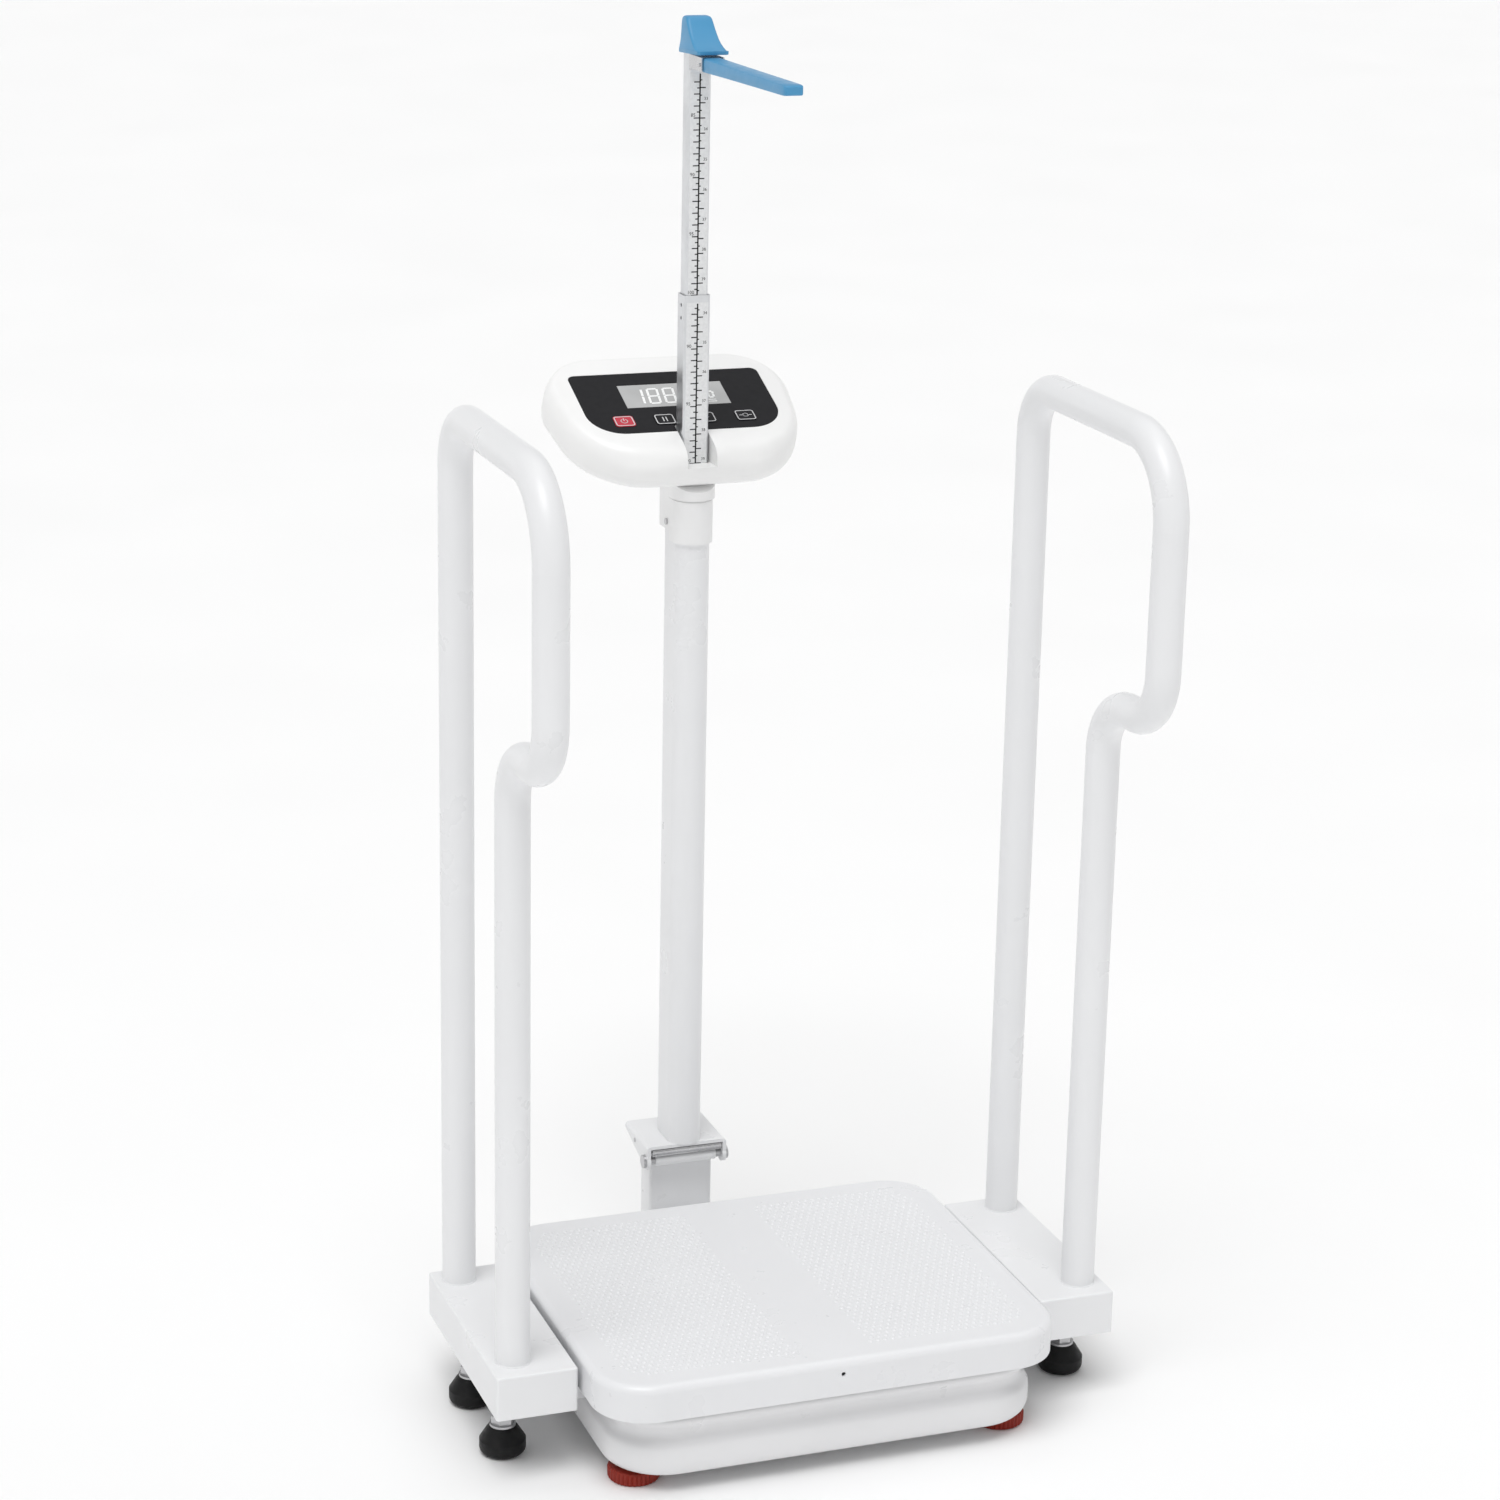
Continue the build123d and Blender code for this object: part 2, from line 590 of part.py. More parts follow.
with BuildPart() as indicator_front:
    add(POD_OUTER)
    add(POD_INNER, mode=Mode.SUBTRACT)
    add_sheath()
    cut_rod_way()
    split(bisect_by=PANEL.offset(POD_SPLIT), keep=Keep.TOP)
    # shallow recess for the printed panel
    with BuildSketch(PANEL.offset(0)):
        add(pod_section(88.0, -48.0, 44.5, 31.0, 7.0))
    extrude(amount=-1.1, mode=Mode.SUBTRACT)
    # display window and key holes
    with BuildSketch(PANEL):
        with Locations((1, 9)):
            Rectangle(98, 38)
        for u in KEY_US:
            with Locations((u, KEY_V)):
                RectangleRounded(KEY_W + 0.6, KEY_H + 0.6, 3)
    extrude(amount=-5, mode=Mode.SUBTRACT)
save(indicator_front, "indicator_front")

DOOR_V = 22.0
DOOR_W = 96.0
DOOR_H = 62.0

with BuildPart() as indicator_back:
    add(POD_OUTER)
    add(POD_INNER, mode=Mode.SUBTRACT)
    add_sheath()
    cut_rod_way()
    split(bisect_by=PANEL.offset(POD_SPLIT), keep=Keep.BOTTOM)
    # battery box: walls round the opening in the floor
    with BuildSketch(PANEL.offset(-POD_DEPTH)):
        with Locations((0, DOOR_V)):
            RectangleRounded(DOOR_W + 6, DOOR_H + 6, 4)
    extrude(amount=22)
    with BuildSketch(PANEL.offset(-POD_DEPTH)):
        with Locations((0, DOOR_V)):
            RectangleRounded(DOOR_W, DOOR_H, 2)
    extrude(amount=20, mode=Mode.SUBTRACT)
save(indicator_back, "indicator_back")

with BuildPart() as battery_door:
    with BuildSketch(PANEL.offset(-POD_DEPTH)):
        with Locations((0, DOOR_V)):
            RectangleRounded(DOOR_W - 0.8, DOOR_H - 0.8, 2)
    extrude(amount=2)
save(battery_door, "battery_door")

with BuildPart() as batteries:
    with BuildSketch(Plane(PANEL.location * Location((-25.2, DOOR_V, 9.8 - POD_DEPTH), (0, 90, 0)))):
        for row in (-1.5, -0.5, 0.5, 1.5):
            with Locations((0, row * 15)):
                Circle(7.1)
    extrude(amount=50.4)
save(batteries, "batteries")

with BuildPart() as fascia:
    with BuildSketch(PANEL.offset(-1.1)):
        add(pod_section(87.8, -47.8, 44.3, 30.8, 6.8))
        with Locations((1, 9)):
            Rectangle(96, 36, mode=Mode.SUBTRACT)
        for u in KEY_US:
            with Locations((u, KEY_V)):
                RectangleRounded(KEY_W + 0.5, KEY_H + 0.5, 3, mode=Mode.SUBTRACT)
    extrude(amount=0.9)
    box(
        -NOTCH_HALF, NOTCH_HALF,
        PLATFORM_Y + 200, ROD_FRONT + OUTER_D + 1.0,
        760, 860,
        Mode.SUBTRACT,
    )
save(fascia, "fascia")

with BuildPart() as lcd_module:
    with BuildSketch(PANEL.offset(-8)):
        with Locations((1, 9)):
            Rectangle(95.6, 35.6)
    extrude(amount=7.3)
save(lcd_module, "lcd_module")

BOARD_W = -12.0

with BuildPart() as circuit_board:
    with BuildSketch(PANEL.offset(BOARD_W)):
        Rectangle(150, 78)
    extrude(amount=1.6)
    # display carrier and four push switches
    with BuildSketch(PANEL.offset(BOARD_W + 1.6)):
        with Locations((1, 9)):
            Rectangle(90, 30)
    extrude(amount=2.4)
    with BuildSketch(PANEL.offset(BOARD_W + 1.6)):
        for u in KEY_US:
            with Locations((u, KEY_V)):
                Rectangle(6, 6)
    extrude(amount=3.2)
    box(
        -NOTCH_HALF - SHEATH - 0.5, NOTCH_HALF + SHEATH + 0.5,
        PLATFORM_Y + 200, ROD_FRONT + OUTER_D + SHEATH + 2,
        740, 860,
        Mode.SUBTRACT,
    )
save(circuit_board, "circuit_board")

for key_name, u in zip(KEY_NAMES, KEY_US):
    with BuildPart() as key:
        with BuildSketch(PANEL.offset(-3)):
            with Locations((u, KEY_V)):
                RectangleRounded(KEY_W, KEY_H, 2.8)
        extrude(amount=3.3)
        with BuildSketch(PANEL.offset(BOARD_W + 1.6 + 3.2 + 1.0)):
            with Locations((u, KEY_V)):
                Circle(2.5)
        extrude(amount=3.5)
    save(key, key_name)

# ---------------------------------------------------------------- telescopic height rod
with BuildPart() as rod_outer:
    with BuildSketch(level(OUTER_TOP - OUTER_LENGTH, ROD_FRONT + OUTER_D / 2)):
        RectangleRounded(2 * OUTER_HALF, OUTER_D, 2.6)
        RectangleRounded(2 * (OUTER_HALF - ROD_WALL), OUTER_D - 2 * ROD_WALL, 1.2, mode=Mode.SUBTRACT)
        with Locations((0, OUTER_D / 2)):
            Rectangle(2 * (OUTER_HALF - 4), 2 * ROD_WALL + 1, mode=Mode.SUBTRACT)
    extrude(amount=OUTER_LENGTH)
    # two small detent holes in the left wall near the top
    for z in (OUTER_TOP - 9, OUTER_TOP - 20):
        rod_along_x(1.7, -OUTER_HALF - 1, -OUTER_HALF + 3, ROD_FRONT + 8, z, Mode.SUBTRACT)
save(rod_outer, "rod_outer")

INNER_FRONT = ROD_FRONT + ROD_WALL + 0.4

with BuildPart() as rod_inner:
    with BuildSketch(level(INNER_TOP - INNER_LENGTH, INNER_FRONT + INNER_D / 2)):
        RectangleRounded(2 * INNER_HALF, INNER_D, 2.2)
        RectangleRounded(
            2 * (INNER_HALF - ROD_WALL), INNER_D - 2 * ROD_WALL, 0.9, mode=Mode.SUBTRACT
        )
        with Locations((0, INNER_D / 2)):
            Rectangle(2 * (INNER_HALF - 4), 2 * ROD_WALL + 1, mode=Mode.SUBTRACT)
    extrude(amount=INNER_LENGTH)
save(rod_inner, "rod_inner")

# ---------------------------------------------------------------- head of the rod
HOOD_TOP = 1146.0
HOOD_BOTTOM = 1117.5
HOOD_BACK = INNER_FRONT + INNER_D + 2.2
BRIM_Y = PLATFORM_Y + 203.0

with BuildPart() as head_cap:
    with BuildSketch(side(-14)):
        with BuildLine():
            Polyline(
                (HOOD_BACK, HOOD_BOTTOM - 2),
                (HOOD_BACK, HOOD_TOP),
                (HOOD_BACK - 9, HOOD_TOP),
                (BRIM_Y + 11, HOOD_BOTTOM + 6),
            )
            ThreePointArc(
                (BRIM_Y + 11, HOOD_BOTTOM + 6),
                (BRIM_Y + 6.5, HOOD_BOTTOM + 3.2),
                (BRIM_Y, HOOD_BOTTOM + 2.2),
            )
            Polyline((BRIM_Y, HOOD_BOTTOM + 2.2), (BRIM_Y, HOOD_BOTTOM), (HOOD_BACK, HOOD_BOTTOM - 2))
        make_face()
    extrude(amount=28)
    # the sides draw in towards the top
    with BuildSketch(Plane.XZ.offset(-BRIM_Y + 5)):
        with BuildLine():
            Polyline(
                (-14, HOOD_BOTTOM - 4),
                (-14, HOOD_BOTTOM + 2.5),
                (-12.2, HOOD_BOTTOM + 7),
                (-11.4, HOOD_TOP + 1),
                (11.4, HOOD_TOP + 1),
                (12.2, HOOD_BOTTOM + 7),
                (14, HOOD_BOTTOM + 2.5),
                (14, HOOD_BOTTOM - 4),
                close=True,
            )
        make_face()
    extrude(amount=-70, mode=Mode.INTERSECT)
    # socket for the rod's top end
    box(
        -INNER_HALF - 0.05, INNER_HALF + 0.05,
        INNER_FRONT - 0.05, INNER_FRONT + INNER_D + 0.05,
        HOOD_BOTTOM - 8, INNER_TOP + 0.05,
        Mode.SUBTRACT,
    )
save(head_cap, "head_cap")

ARM_HALF = 8.5
ARM_PIN_R = 1.5
CLIP_IN = ARM_HALF + 0.4
CLIP_OUT = CLIP_IN + 1.2

with BuildPart() as head_arm:
    with BuildSketch(side(-ARM_HALF)):
        with BuildLine():
            Polyline(
                (ARM_PIVOT_Y, ARM_PIVOT_Z + 6),
                (ARM_TIP_Y + 3, ARM_PIVOT_Z + 5.2),
                (ARM_TIP_Y, ARM_PIVOT_Z + 2.6),
                (ARM_TIP_Y + 1.5, ARM_PIVOT_Z - 3),
                (ARM_PIVOT_Y, ARM_PIVOT_Z - 6),
                close=True,
            )
        make_face()
        with Locations((ARM_PIVOT_Y, ARM_PIVOT_Z)):
            Circle(6)
    extrude(amount=2 * ARM_HALF)
    rod_along_x(ARM_PIN_R + 0.06, -20, 20, ARM_PIVOT_Y, ARM_PIVOT_Z, Mode.SUBTRACT)
save(head_arm, "head_arm")

with BuildPart() as spring_clip:
    box(
        -CLIP_OUT, CLIP_OUT,
        INNER_FRONT - 1.4, INNER_FRONT - 0.1,
        ARM_PIVOT_Z - 7, HOOD_BOTTOM - 2.1,
    )
    for sx in (-1, 1):
        x0, x1 = sorted((sx * CLIP_IN, sx * CLIP_OUT))
        box(
            x0, x1,
            ARM_PIVOT_Y - 5, INNER_FRONT - 0.2,
            ARM_PIVOT_Z - 5, HOOD_BOTTOM - 2.1,
        )
    rod_along_x(ARM_PIN_R + 0.02, -20, 20, ARM_PIVOT_Y, ARM_PIVOT_Z, Mode.SUBTRACT)
save(spring_clip, "spring_clip")

with BuildPart() as arm_pin:
    rod_along_x(ARM_PIN_R, -CLIP_OUT - 0.8, CLIP_OUT + 0.8, ARM_PIVOT_Y, ARM_PIVOT_Z)
save(arm_pin, "arm_pin")
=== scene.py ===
"""Looks of an electronic column scale with two handrails and a telescopic height rod.

Everything is in metres in the part's own frame: +Z up, -Y towards the user, the origin on the
floor. Places come from the boxes of the frame's own pieces.
"""

import json
import math
import random

import bmesh
import bpy
from mathutils import Matrix, Vector


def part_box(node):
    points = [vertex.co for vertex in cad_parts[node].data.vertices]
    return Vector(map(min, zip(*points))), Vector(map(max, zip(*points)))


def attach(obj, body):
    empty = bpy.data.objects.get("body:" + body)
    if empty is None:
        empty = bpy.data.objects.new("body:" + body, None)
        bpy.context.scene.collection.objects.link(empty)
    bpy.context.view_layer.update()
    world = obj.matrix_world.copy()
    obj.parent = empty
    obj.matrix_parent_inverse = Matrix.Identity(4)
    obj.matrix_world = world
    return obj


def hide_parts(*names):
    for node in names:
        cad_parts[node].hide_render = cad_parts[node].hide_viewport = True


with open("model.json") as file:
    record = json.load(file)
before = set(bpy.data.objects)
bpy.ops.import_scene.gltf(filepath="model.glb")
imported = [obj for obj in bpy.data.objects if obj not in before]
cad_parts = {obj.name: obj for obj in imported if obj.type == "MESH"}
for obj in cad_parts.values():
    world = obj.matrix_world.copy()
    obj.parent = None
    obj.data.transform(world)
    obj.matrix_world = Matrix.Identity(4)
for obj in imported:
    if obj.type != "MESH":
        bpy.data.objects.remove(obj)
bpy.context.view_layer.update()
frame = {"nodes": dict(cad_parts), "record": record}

NODES = frame["nodes"]

MM = 0.001
CORNERS = ("front_left", "front_right", "rear_left", "rear_right")
KEYS = ("key_power", "key_hold", "key_mode", "key_tare")

# the display panel's own axes: u to the right, v up the slope, w out of the panel
PANEL_TILT = math.radians(22.5)
V_AXIS = Vector((0, math.cos(PANEL_TILT), math.sin(PANEL_TILT)))
W_AXIS = Vector((0, -math.sin(PANEL_TILT), math.cos(PANEL_TILT)))
LCD_U = 1.0 * MM            # the display's middle on the panel
LCD_V = 9.0 * MM
LCD_W = -0.7 * MM           # its face, a little below the panel
LCD_DEPTH = 7.3 * MM
KEY_V = -29.0 * MM          # the row of keys


def centre(node):
    """Middle of a CAD node's box."""
    low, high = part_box(node)
    return (low + high) / 2


def panel_origin():
    """The point u = v = w = 0, found from the display module's middle."""
    middle_w = LCD_W - LCD_DEPTH / 2
    return centre("lcd_module") - Vector((LCD_U, 0, 0)) - V_AXIS * LCD_V - W_AXIS * middle_w


PANEL_ORIGIN = panel_origin()


def on_panel(u, v, w):
    """A point given in the panel's own axes, in metres."""
    return PANEL_ORIGIN + Vector((u, 0, 0)) + V_AXIS * v + W_AXIS * w


# ------------------------------------------------------------------ materials


class Finish:
    """A Principled material with helpers that hang procedural detail on it."""

    def __init__(self, name, colour, roughness, metallic=0.0, coat=0.0, specular=0.5):
        self.material = bpy.data.materials.new(name)
        self.material.use_nodes = True
        self.tree = self.material.node_tree
        self.shader = self.tree.nodes["Principled BSDF"]
        self.shader.inputs["Base Color"].default_value = (*colour, 1)
        self.shader.inputs["Roughness"].default_value = roughness
        self.shader.inputs["Metallic"].default_value = metallic
        self.shader.inputs["Coat Weight"].default_value = coat
        self.shader.inputs["Specular IOR Level"].default_value = specular
        self.colour = colour
        self.roughness = roughness
        self.coords = self.tree.nodes.new("ShaderNodeTexCoord")
        self.bumps = None

    def add(self, kind):
        """A new node of that kind."""
        return self.tree.nodes.new(kind)

    def join(self, source, target):
        """Link two sockets."""
        self.tree.links.new(source, target)

    def noise(self, size, detail=3.0, stretch=(1, 1, 1)):
        """Noise whose grains are about size metres across, drawn out along an axis by stretch."""
        mapping = self.add("ShaderNodeMapping")
        mapping.inputs["Scale"].default_value = [1 / s for s in stretch]
        self.join(self.coords.outputs["Object"], mapping.inputs["Vector"])
        noise = self.add("ShaderNodeTexNoise")
        noise.inputs["Scale"].default_value = 1 / size
        noise.inputs["Detail"].default_value = detail
        self.join(mapping.outputs["Vector"], noise.inputs["Vector"])
        return noise.outputs["Fac"]

    def spread(self, source, low, high, from_low=0.3, from_high=0.7):
        """The source stretched so that it runs from low to high."""
        span = self.add("ShaderNodeMapRange")
        span.inputs["From Min"].default_value = from_low
        span.inputs["From Max"].default_value = from_high
        span.inputs["To Min"].default_value = low
        span.inputs["To Max"].default_value = high
        self.join(source, span.inputs["Value"])
        return span.outputs["Result"]

    def tint(self, source, other):
        """Base colour runs from the finish's own colour to another along the source."""
        mix = self.add("ShaderNodeMix")
        mix.data_type = "RGBA"
        mix.inputs["A"].default_value = (*self.colour, 1)
        mix.inputs["B"].default_value = (*other, 1)
        self.join(source, mix.inputs["Factor"])
        self.join(mix.outputs["Result"], self.shader.inputs["Base Color"])
        return self

    def gloss(self, source, low, high):
        """Roughness runs from low to high along the source."""
        self.join(self.spread(source, low, high), self.shader.inputs["Roughness"])
        return self

    def bump(self, source, strength, height):
        """Relief from the source, laid over any relief already there."""
        bump = self.add("ShaderNodeBump")
        bump.inputs["Strength"].default_value = strength
        bump.inputs["Distance"].default_value = height
        self.join(source, bump.inputs["Height"])
        if self.bumps is not None:
            self.join(self.bumps, bump.inputs["Normal"])
        self.bumps = bump.outputs["Normal"]
        self.join(self.bumps, self.shader.inputs["Normal"])
        return self


def shaded(colour, factor):
    """The colour made darker or lighter by a factor."""
    return tuple(min(c * factor, 1.0) for c in colour)


def powder_coat(name, colour, grain=5.0 * MM, relief=0.06):
    """Baked powder paint: faint orange peel, a little dust and uneven gloss."""
    finish = Finish(name, colour, 0.3)
    finish.tint(finish.spread(finish.noise(0.15, 4), 0.0, 1.0), shaded(colour, 0.975))
    finish.gloss(finish.noise(0.04, 5), 0.26, 0.38)
    finish.bump(finish.noise(grain, 0.5), relief, 0.02 * MM)
    return finish.material


def moulded(name, colour, roughness, grain=0.35 * MM, relief=0.08, specular=0.5):
    """Injection moulded plastic with a fine spark-eroded grain."""
    finish = Finish(name, colour, roughness, specular=specular)
    finish.tint(finish.spread(finish.noise(0.05, 3), 0.0, 1.0), shaded(colour, 0.96))
    finish.gloss(finish.noise(9 * MM, 4), roughness - 0.05, roughness + 0.07)
    finish.bump(finish.noise(grain, 2), relief, 0.03 * MM)
    return finish.material


def bare_metal(name, colour, roughness, stretch, grain=0.25 * MM):
    """Metal with drawn or rolled marks along one axis."""
    finish = Finish(name, colour, roughness, metallic=1.0)
    finish.tint(finish.spread(finish.noise(0.02, 4), 0.0, 1.0), shaded(colour, 0.88))
    finish.gloss(finish.noise(grain, 4, stretch), roughness - 0.08, roughness + 0.10)
    finish.bump(finish.noise(grain, 3, stretch), 0.08, 0.02 * MM)
    return finish.material


def cast_metal(name, colour):
    """Sand cast metal with a coarse, pitted skin."""
    finish = Finish(name, colour, 0.5, metallic=0.85)
    finish.tint(finish.spread(finish.noise(6 * MM, 5), 0.0, 1.0), shaded(colour, 0.78))
    finish.gloss(finish.noise(3 * MM, 4), 0.42, 0.62)
    finish.bump(finish.noise(0.9 * MM, 4), 0.35, 0.12 * MM)
    return finish.material


def rubber(name):
    """Black rubber with a matt, faintly dusty skin."""
    finish = Finish(name, (0.008, 0.008, 0.009), 0.5, specular=0.2)
    finish.tint(finish.spread(finish.noise(7 * MM, 5), 0.0, 1.0), (0.014, 0.014, 0.014))
    finish.gloss(finish.noise(4 * MM, 4), 0.38, 0.6)
    finish.bump(finish.noise(0.5 * MM, 3), 0.2, 0.05 * MM)
    return finish.material


def printed_film(name, colour, roughness, specular=0.3):
    """Printed film or lettering ink with a fine tooth."""
    finish = Finish(name, colour, roughness, specular=specular)
    finish.tint(finish.spread(finish.noise(2.5 * MM, 4), 0.0, 1.0), shaded(colour, 1.12))
    finish.gloss(finish.noise(5 * MM, 3), roughness - 0.05, roughness + 0.08)
    finish.bump(finish.noise(0.3 * MM, 2), 0.08, 0.01 * MM)
    return finish.material


def display_glass():
    """Grey reflective display behind a clear window, with a painted reflection that makes it a
    little lighter towards one side.
    """
    finish = Finish("display_grey", (0.40, 0.405, 0.405), 0.16, coat=0.4)
    finish.shader.inputs["Coat Roughness"].default_value = 0.04
    # painted reflection: broad noise patches run the grey lighter, standing in for light on the
    # glass
    finish.tint(finish.spread(finish.noise(0.045, 2), 0.0, 1.0), (0.50, 0.505, 0.505))
    finish.bump(finish.noise(0.4 * MM, 2), 0.05, 0.01 * MM)
    return finish.material


WHITE = (0.825, 0.83, 0.84)
MATERIALS = {
    "frame_paint": powder_coat("frame_paint", WHITE),
    "platform_paint": powder_coat("platform_paint", (0.80, 0.805, 0.82), 4.0 * MM, 0.06),
    "bare_steel": bare_metal("zinc_steel", (0.56, 0.56, 0.57), 0.34, (1, 1, 6)),
    "bright_steel": bare_metal("bright_steel", (0.62, 0.62, 0.63), 0.24, (12, 1, 1)),
    "rod_aluminium": bare_metal("rod_aluminium", (0.74, 0.75, 0.765), 0.36, (1, 1, 60)),
    "cell_aluminium": bare_metal("cell_aluminium", (0.66, 0.67, 0.69), 0.36, (10, 1, 1)),
    "cast_aluminium": cast_metal("cast_aluminium", (0.50, 0.51, 0.52)),
    "housing_white": moulded("housing_white", (0.90, 0.90, 0.895), 0.34),
    "collar_white": moulded("collar_white", (0.87, 0.87, 0.87), 0.42),
    "fascia_black": printed_film("fascia_black", (0.011, 0.011, 0.013), 0.34, 0.1),
    "lcd_face": display_glass(),
    "board_green": moulded("board_green", (0.02, 0.14, 0.06), 0.4, 0.8 * MM),
    "key_red": moulded("key_red", (0.54, 0.035, 0.06), 0.38, specular=0.3),
    "key_black": moulded("key_black", (0.012, 0.012, 0.014), 0.38, specular=0.12),
    "knob_red": moulded("knob_red", (0.27, 0.022, 0.011), 0.42, specular=0.3),
    "foot_rubber": rubber("foot_rubber"),
    "head_blue": moulded("head_blue", (0.070, 0.305, 0.55), 0.34, specular=0.38),
    "battery_wrap": moulded("battery_wrap", (0.05, 0.055, 0.065), 0.3),
}
PAN_PAINT = powder_coat("pan_paint", (0.79, 0.79, 0.80))
INK_BLACK = printed_film("ink_black", (0.010, 0.010, 0.010), 0.5)
INK_PALE = printed_film("ink_pale", (0.60, 0.60, 0.61), 0.45)
STRIP_WHITE = printed_film("strip_white", (0.74, 0.745, 0.75), 0.42)
SEGMENT_PALE = printed_film("segment_pale", (0.88, 0.89, 0.885), 0.35)

for entry in frame["record"]["subparts"]:
    node = NODES[entry["node"]]
    node.data.materials.clear()
    node.data.materials.append(MATERIALS[entry["material_slot"]])

# ------------------------------------------------------------------ mesh helpers


def add_piece(name, mesh, body, slot, material=None, sharp=32.0, replaces=()):
    """Make a shown piece from a mesh and let it ride on a body."""
    piece = bpy.data.objects.new(name, mesh)
    bpy.context.scene.collection.objects.link(piece)
    mesh.materials.clear()
    mesh.materials.append(material or MATERIALS[slot])
    mesh.shade_smooth()
    mesh.set_sharp_from_angle(angle=math.radians(sharp))
    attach(piece, body)
    if replaces:
        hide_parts(*replaces)
    return piece


def mesh_from(bm, name):
    """Turn an edited bmesh into a mesh with its faces pointing outwards."""
    bmesh.ops.recalc_face_normals(bm, faces=bm.faces)
    mesh = bpy.data.meshes.new(name)
    bm.to_mesh(mesh)
    bm.free()
    return mesh


def skin(bm, rings, closed=False):
    """Faces between equal rings of points, and end faces unless the rings meet in a loop."""
    loops = [[bm.verts.new(p) for p in ring] for ring in rings]
    count = len(loops[0])
    pairs = list(zip(loops, loops[1:]))
    if closed:
        pairs.append((loops[-1], loops[0]))
    for lower, upper in pairs:
        for i in range(count):
            j = (i + 1) % count
            bm.faces.new((lower[i], lower[j], upper[j], upper[i]))
    if not closed:
        bm.faces.new(list(reversed(loops[0])))
        bm.faces.new(loops[-1])


def circle(count, radius):
    """Pairs of coordinates round a circle."""
    angles = [math.tau * i / count for i in range(count)]
    return [(radius * math.cos(a), radius * math.sin(a)) for a in angles]


def turned(bm, x, y, profile, z, count):
    """A closed turned body from (height, radius) pairs in millimetres above z."""
    skin(bm, [
        [(x + dx, y + dy, z + height * MM) for dx, dy in circle(count, radius * MM)]
        for height, radius in profile
    ])


def bar_along_x(y, z, stations, count):
    """A closed round bar from (x, radius) pairs, as an open bmesh."""
    bm = bmesh.new()
    skin(bm, [
        [(x, y + dy, z + dz) for dy, dz in circle(count, radius)] for x, radius in stations
    ])
    return bm


def round_box(bm, low, high, bevel=0.0):
    """A box between two corners, its edges rounded when a bevel is given."""
    low, high = Vector(low), Vector(high)
    made = bmesh.ops.create_cube(bm, size=1.0)["verts"]
    for vert in made:
        vert.co = [low[i] + (vert.co[i] + 0.5) * (high[i] - low[i]) for i in range(3)]
    if bevel:
        edges = list({e for vert in made for e in vert.link_edges})
        bmesh.ops.bevel(bm, geom=edges, offset=bevel, segments=2, affect="EDGES", profile=0.5)


# ------------------------------------------------------------------ camera, light and floor

CAMERA_TURN = (-20.14, 16.76, 1.13)     # azimuth, elevation and roll, in degrees
CAMERA_PLACE = (-1.007, -2.750, 1.432)
CAMERA_LENS = 86.9                      # mm, for a sensor 36 mm wide
GLOW_HORIZON = 0.98                     # strength of the surround up to the first height below
GLOW_OVERHEAD = 0.47
GLOW_BAND = (0.10, 0.30)                # sines of the elevations between which it changes
FLOOR_HALF = 40.0
FLOOR_Z = -0.0002


def make_camera():
    """The camera stands in front of the user's side, to the left and a little above."""
    azimuth, elevation, roll = (math.radians(a) for a in CAMERA_TURN)
    back = Vector((
        math.sin(azimuth) * math.cos(elevation),
        -math.cos(azimuth) * math.cos(elevation),
        math.sin(elevation),
    ))
    right = (-back).cross(Vector((0, 0, 1))).normalized()
    up = right.cross(-back)
    x_axis = right * math.cos(roll) + up * math.sin(roll)
    y_axis = up * math.cos(roll) - right * math.sin(roll)
    data = bpy.data.cameras.new("camera")
    data.lens = CAMERA_LENS
    data.sensor_width = 36.0
    data.clip_end = 120.0
    camera = bpy.data.objects.new("camera", data)
    turn = Matrix((x_axis, y_axis, back)).transposed().to_4x4()
    camera.matrix_world = Matrix.Translation(CAMERA_PLACE) @ turn
    bpy.context.scene.collection.objects.link(camera)
    bpy.context.scene.camera = camera


def soft_sun(name, azimuth, elevation, spread, strength):
    """A very wide sun that shines from an azimuth (0 is the user's side) and an elevation."""
    data = bpy.data.lights.new(name, "SUN")
    data.angle = math.radians(spread)
    data.energy = strength
    light = bpy.data.objects.new(name, data)
    turn, rise = math.radians(azimuth), math.radians(elevation)
    place = Vector((
        math.sin(turn) * math.cos(rise), -math.cos(turn) * math.cos(rise), math.sin(rise)
    ))
    light.location = 4.0 * place
    light.rotation_euler = (-place).to_track_quat("-Z", "Y").to_euler()
    bpy.context.scene.collection.objects.link(light)


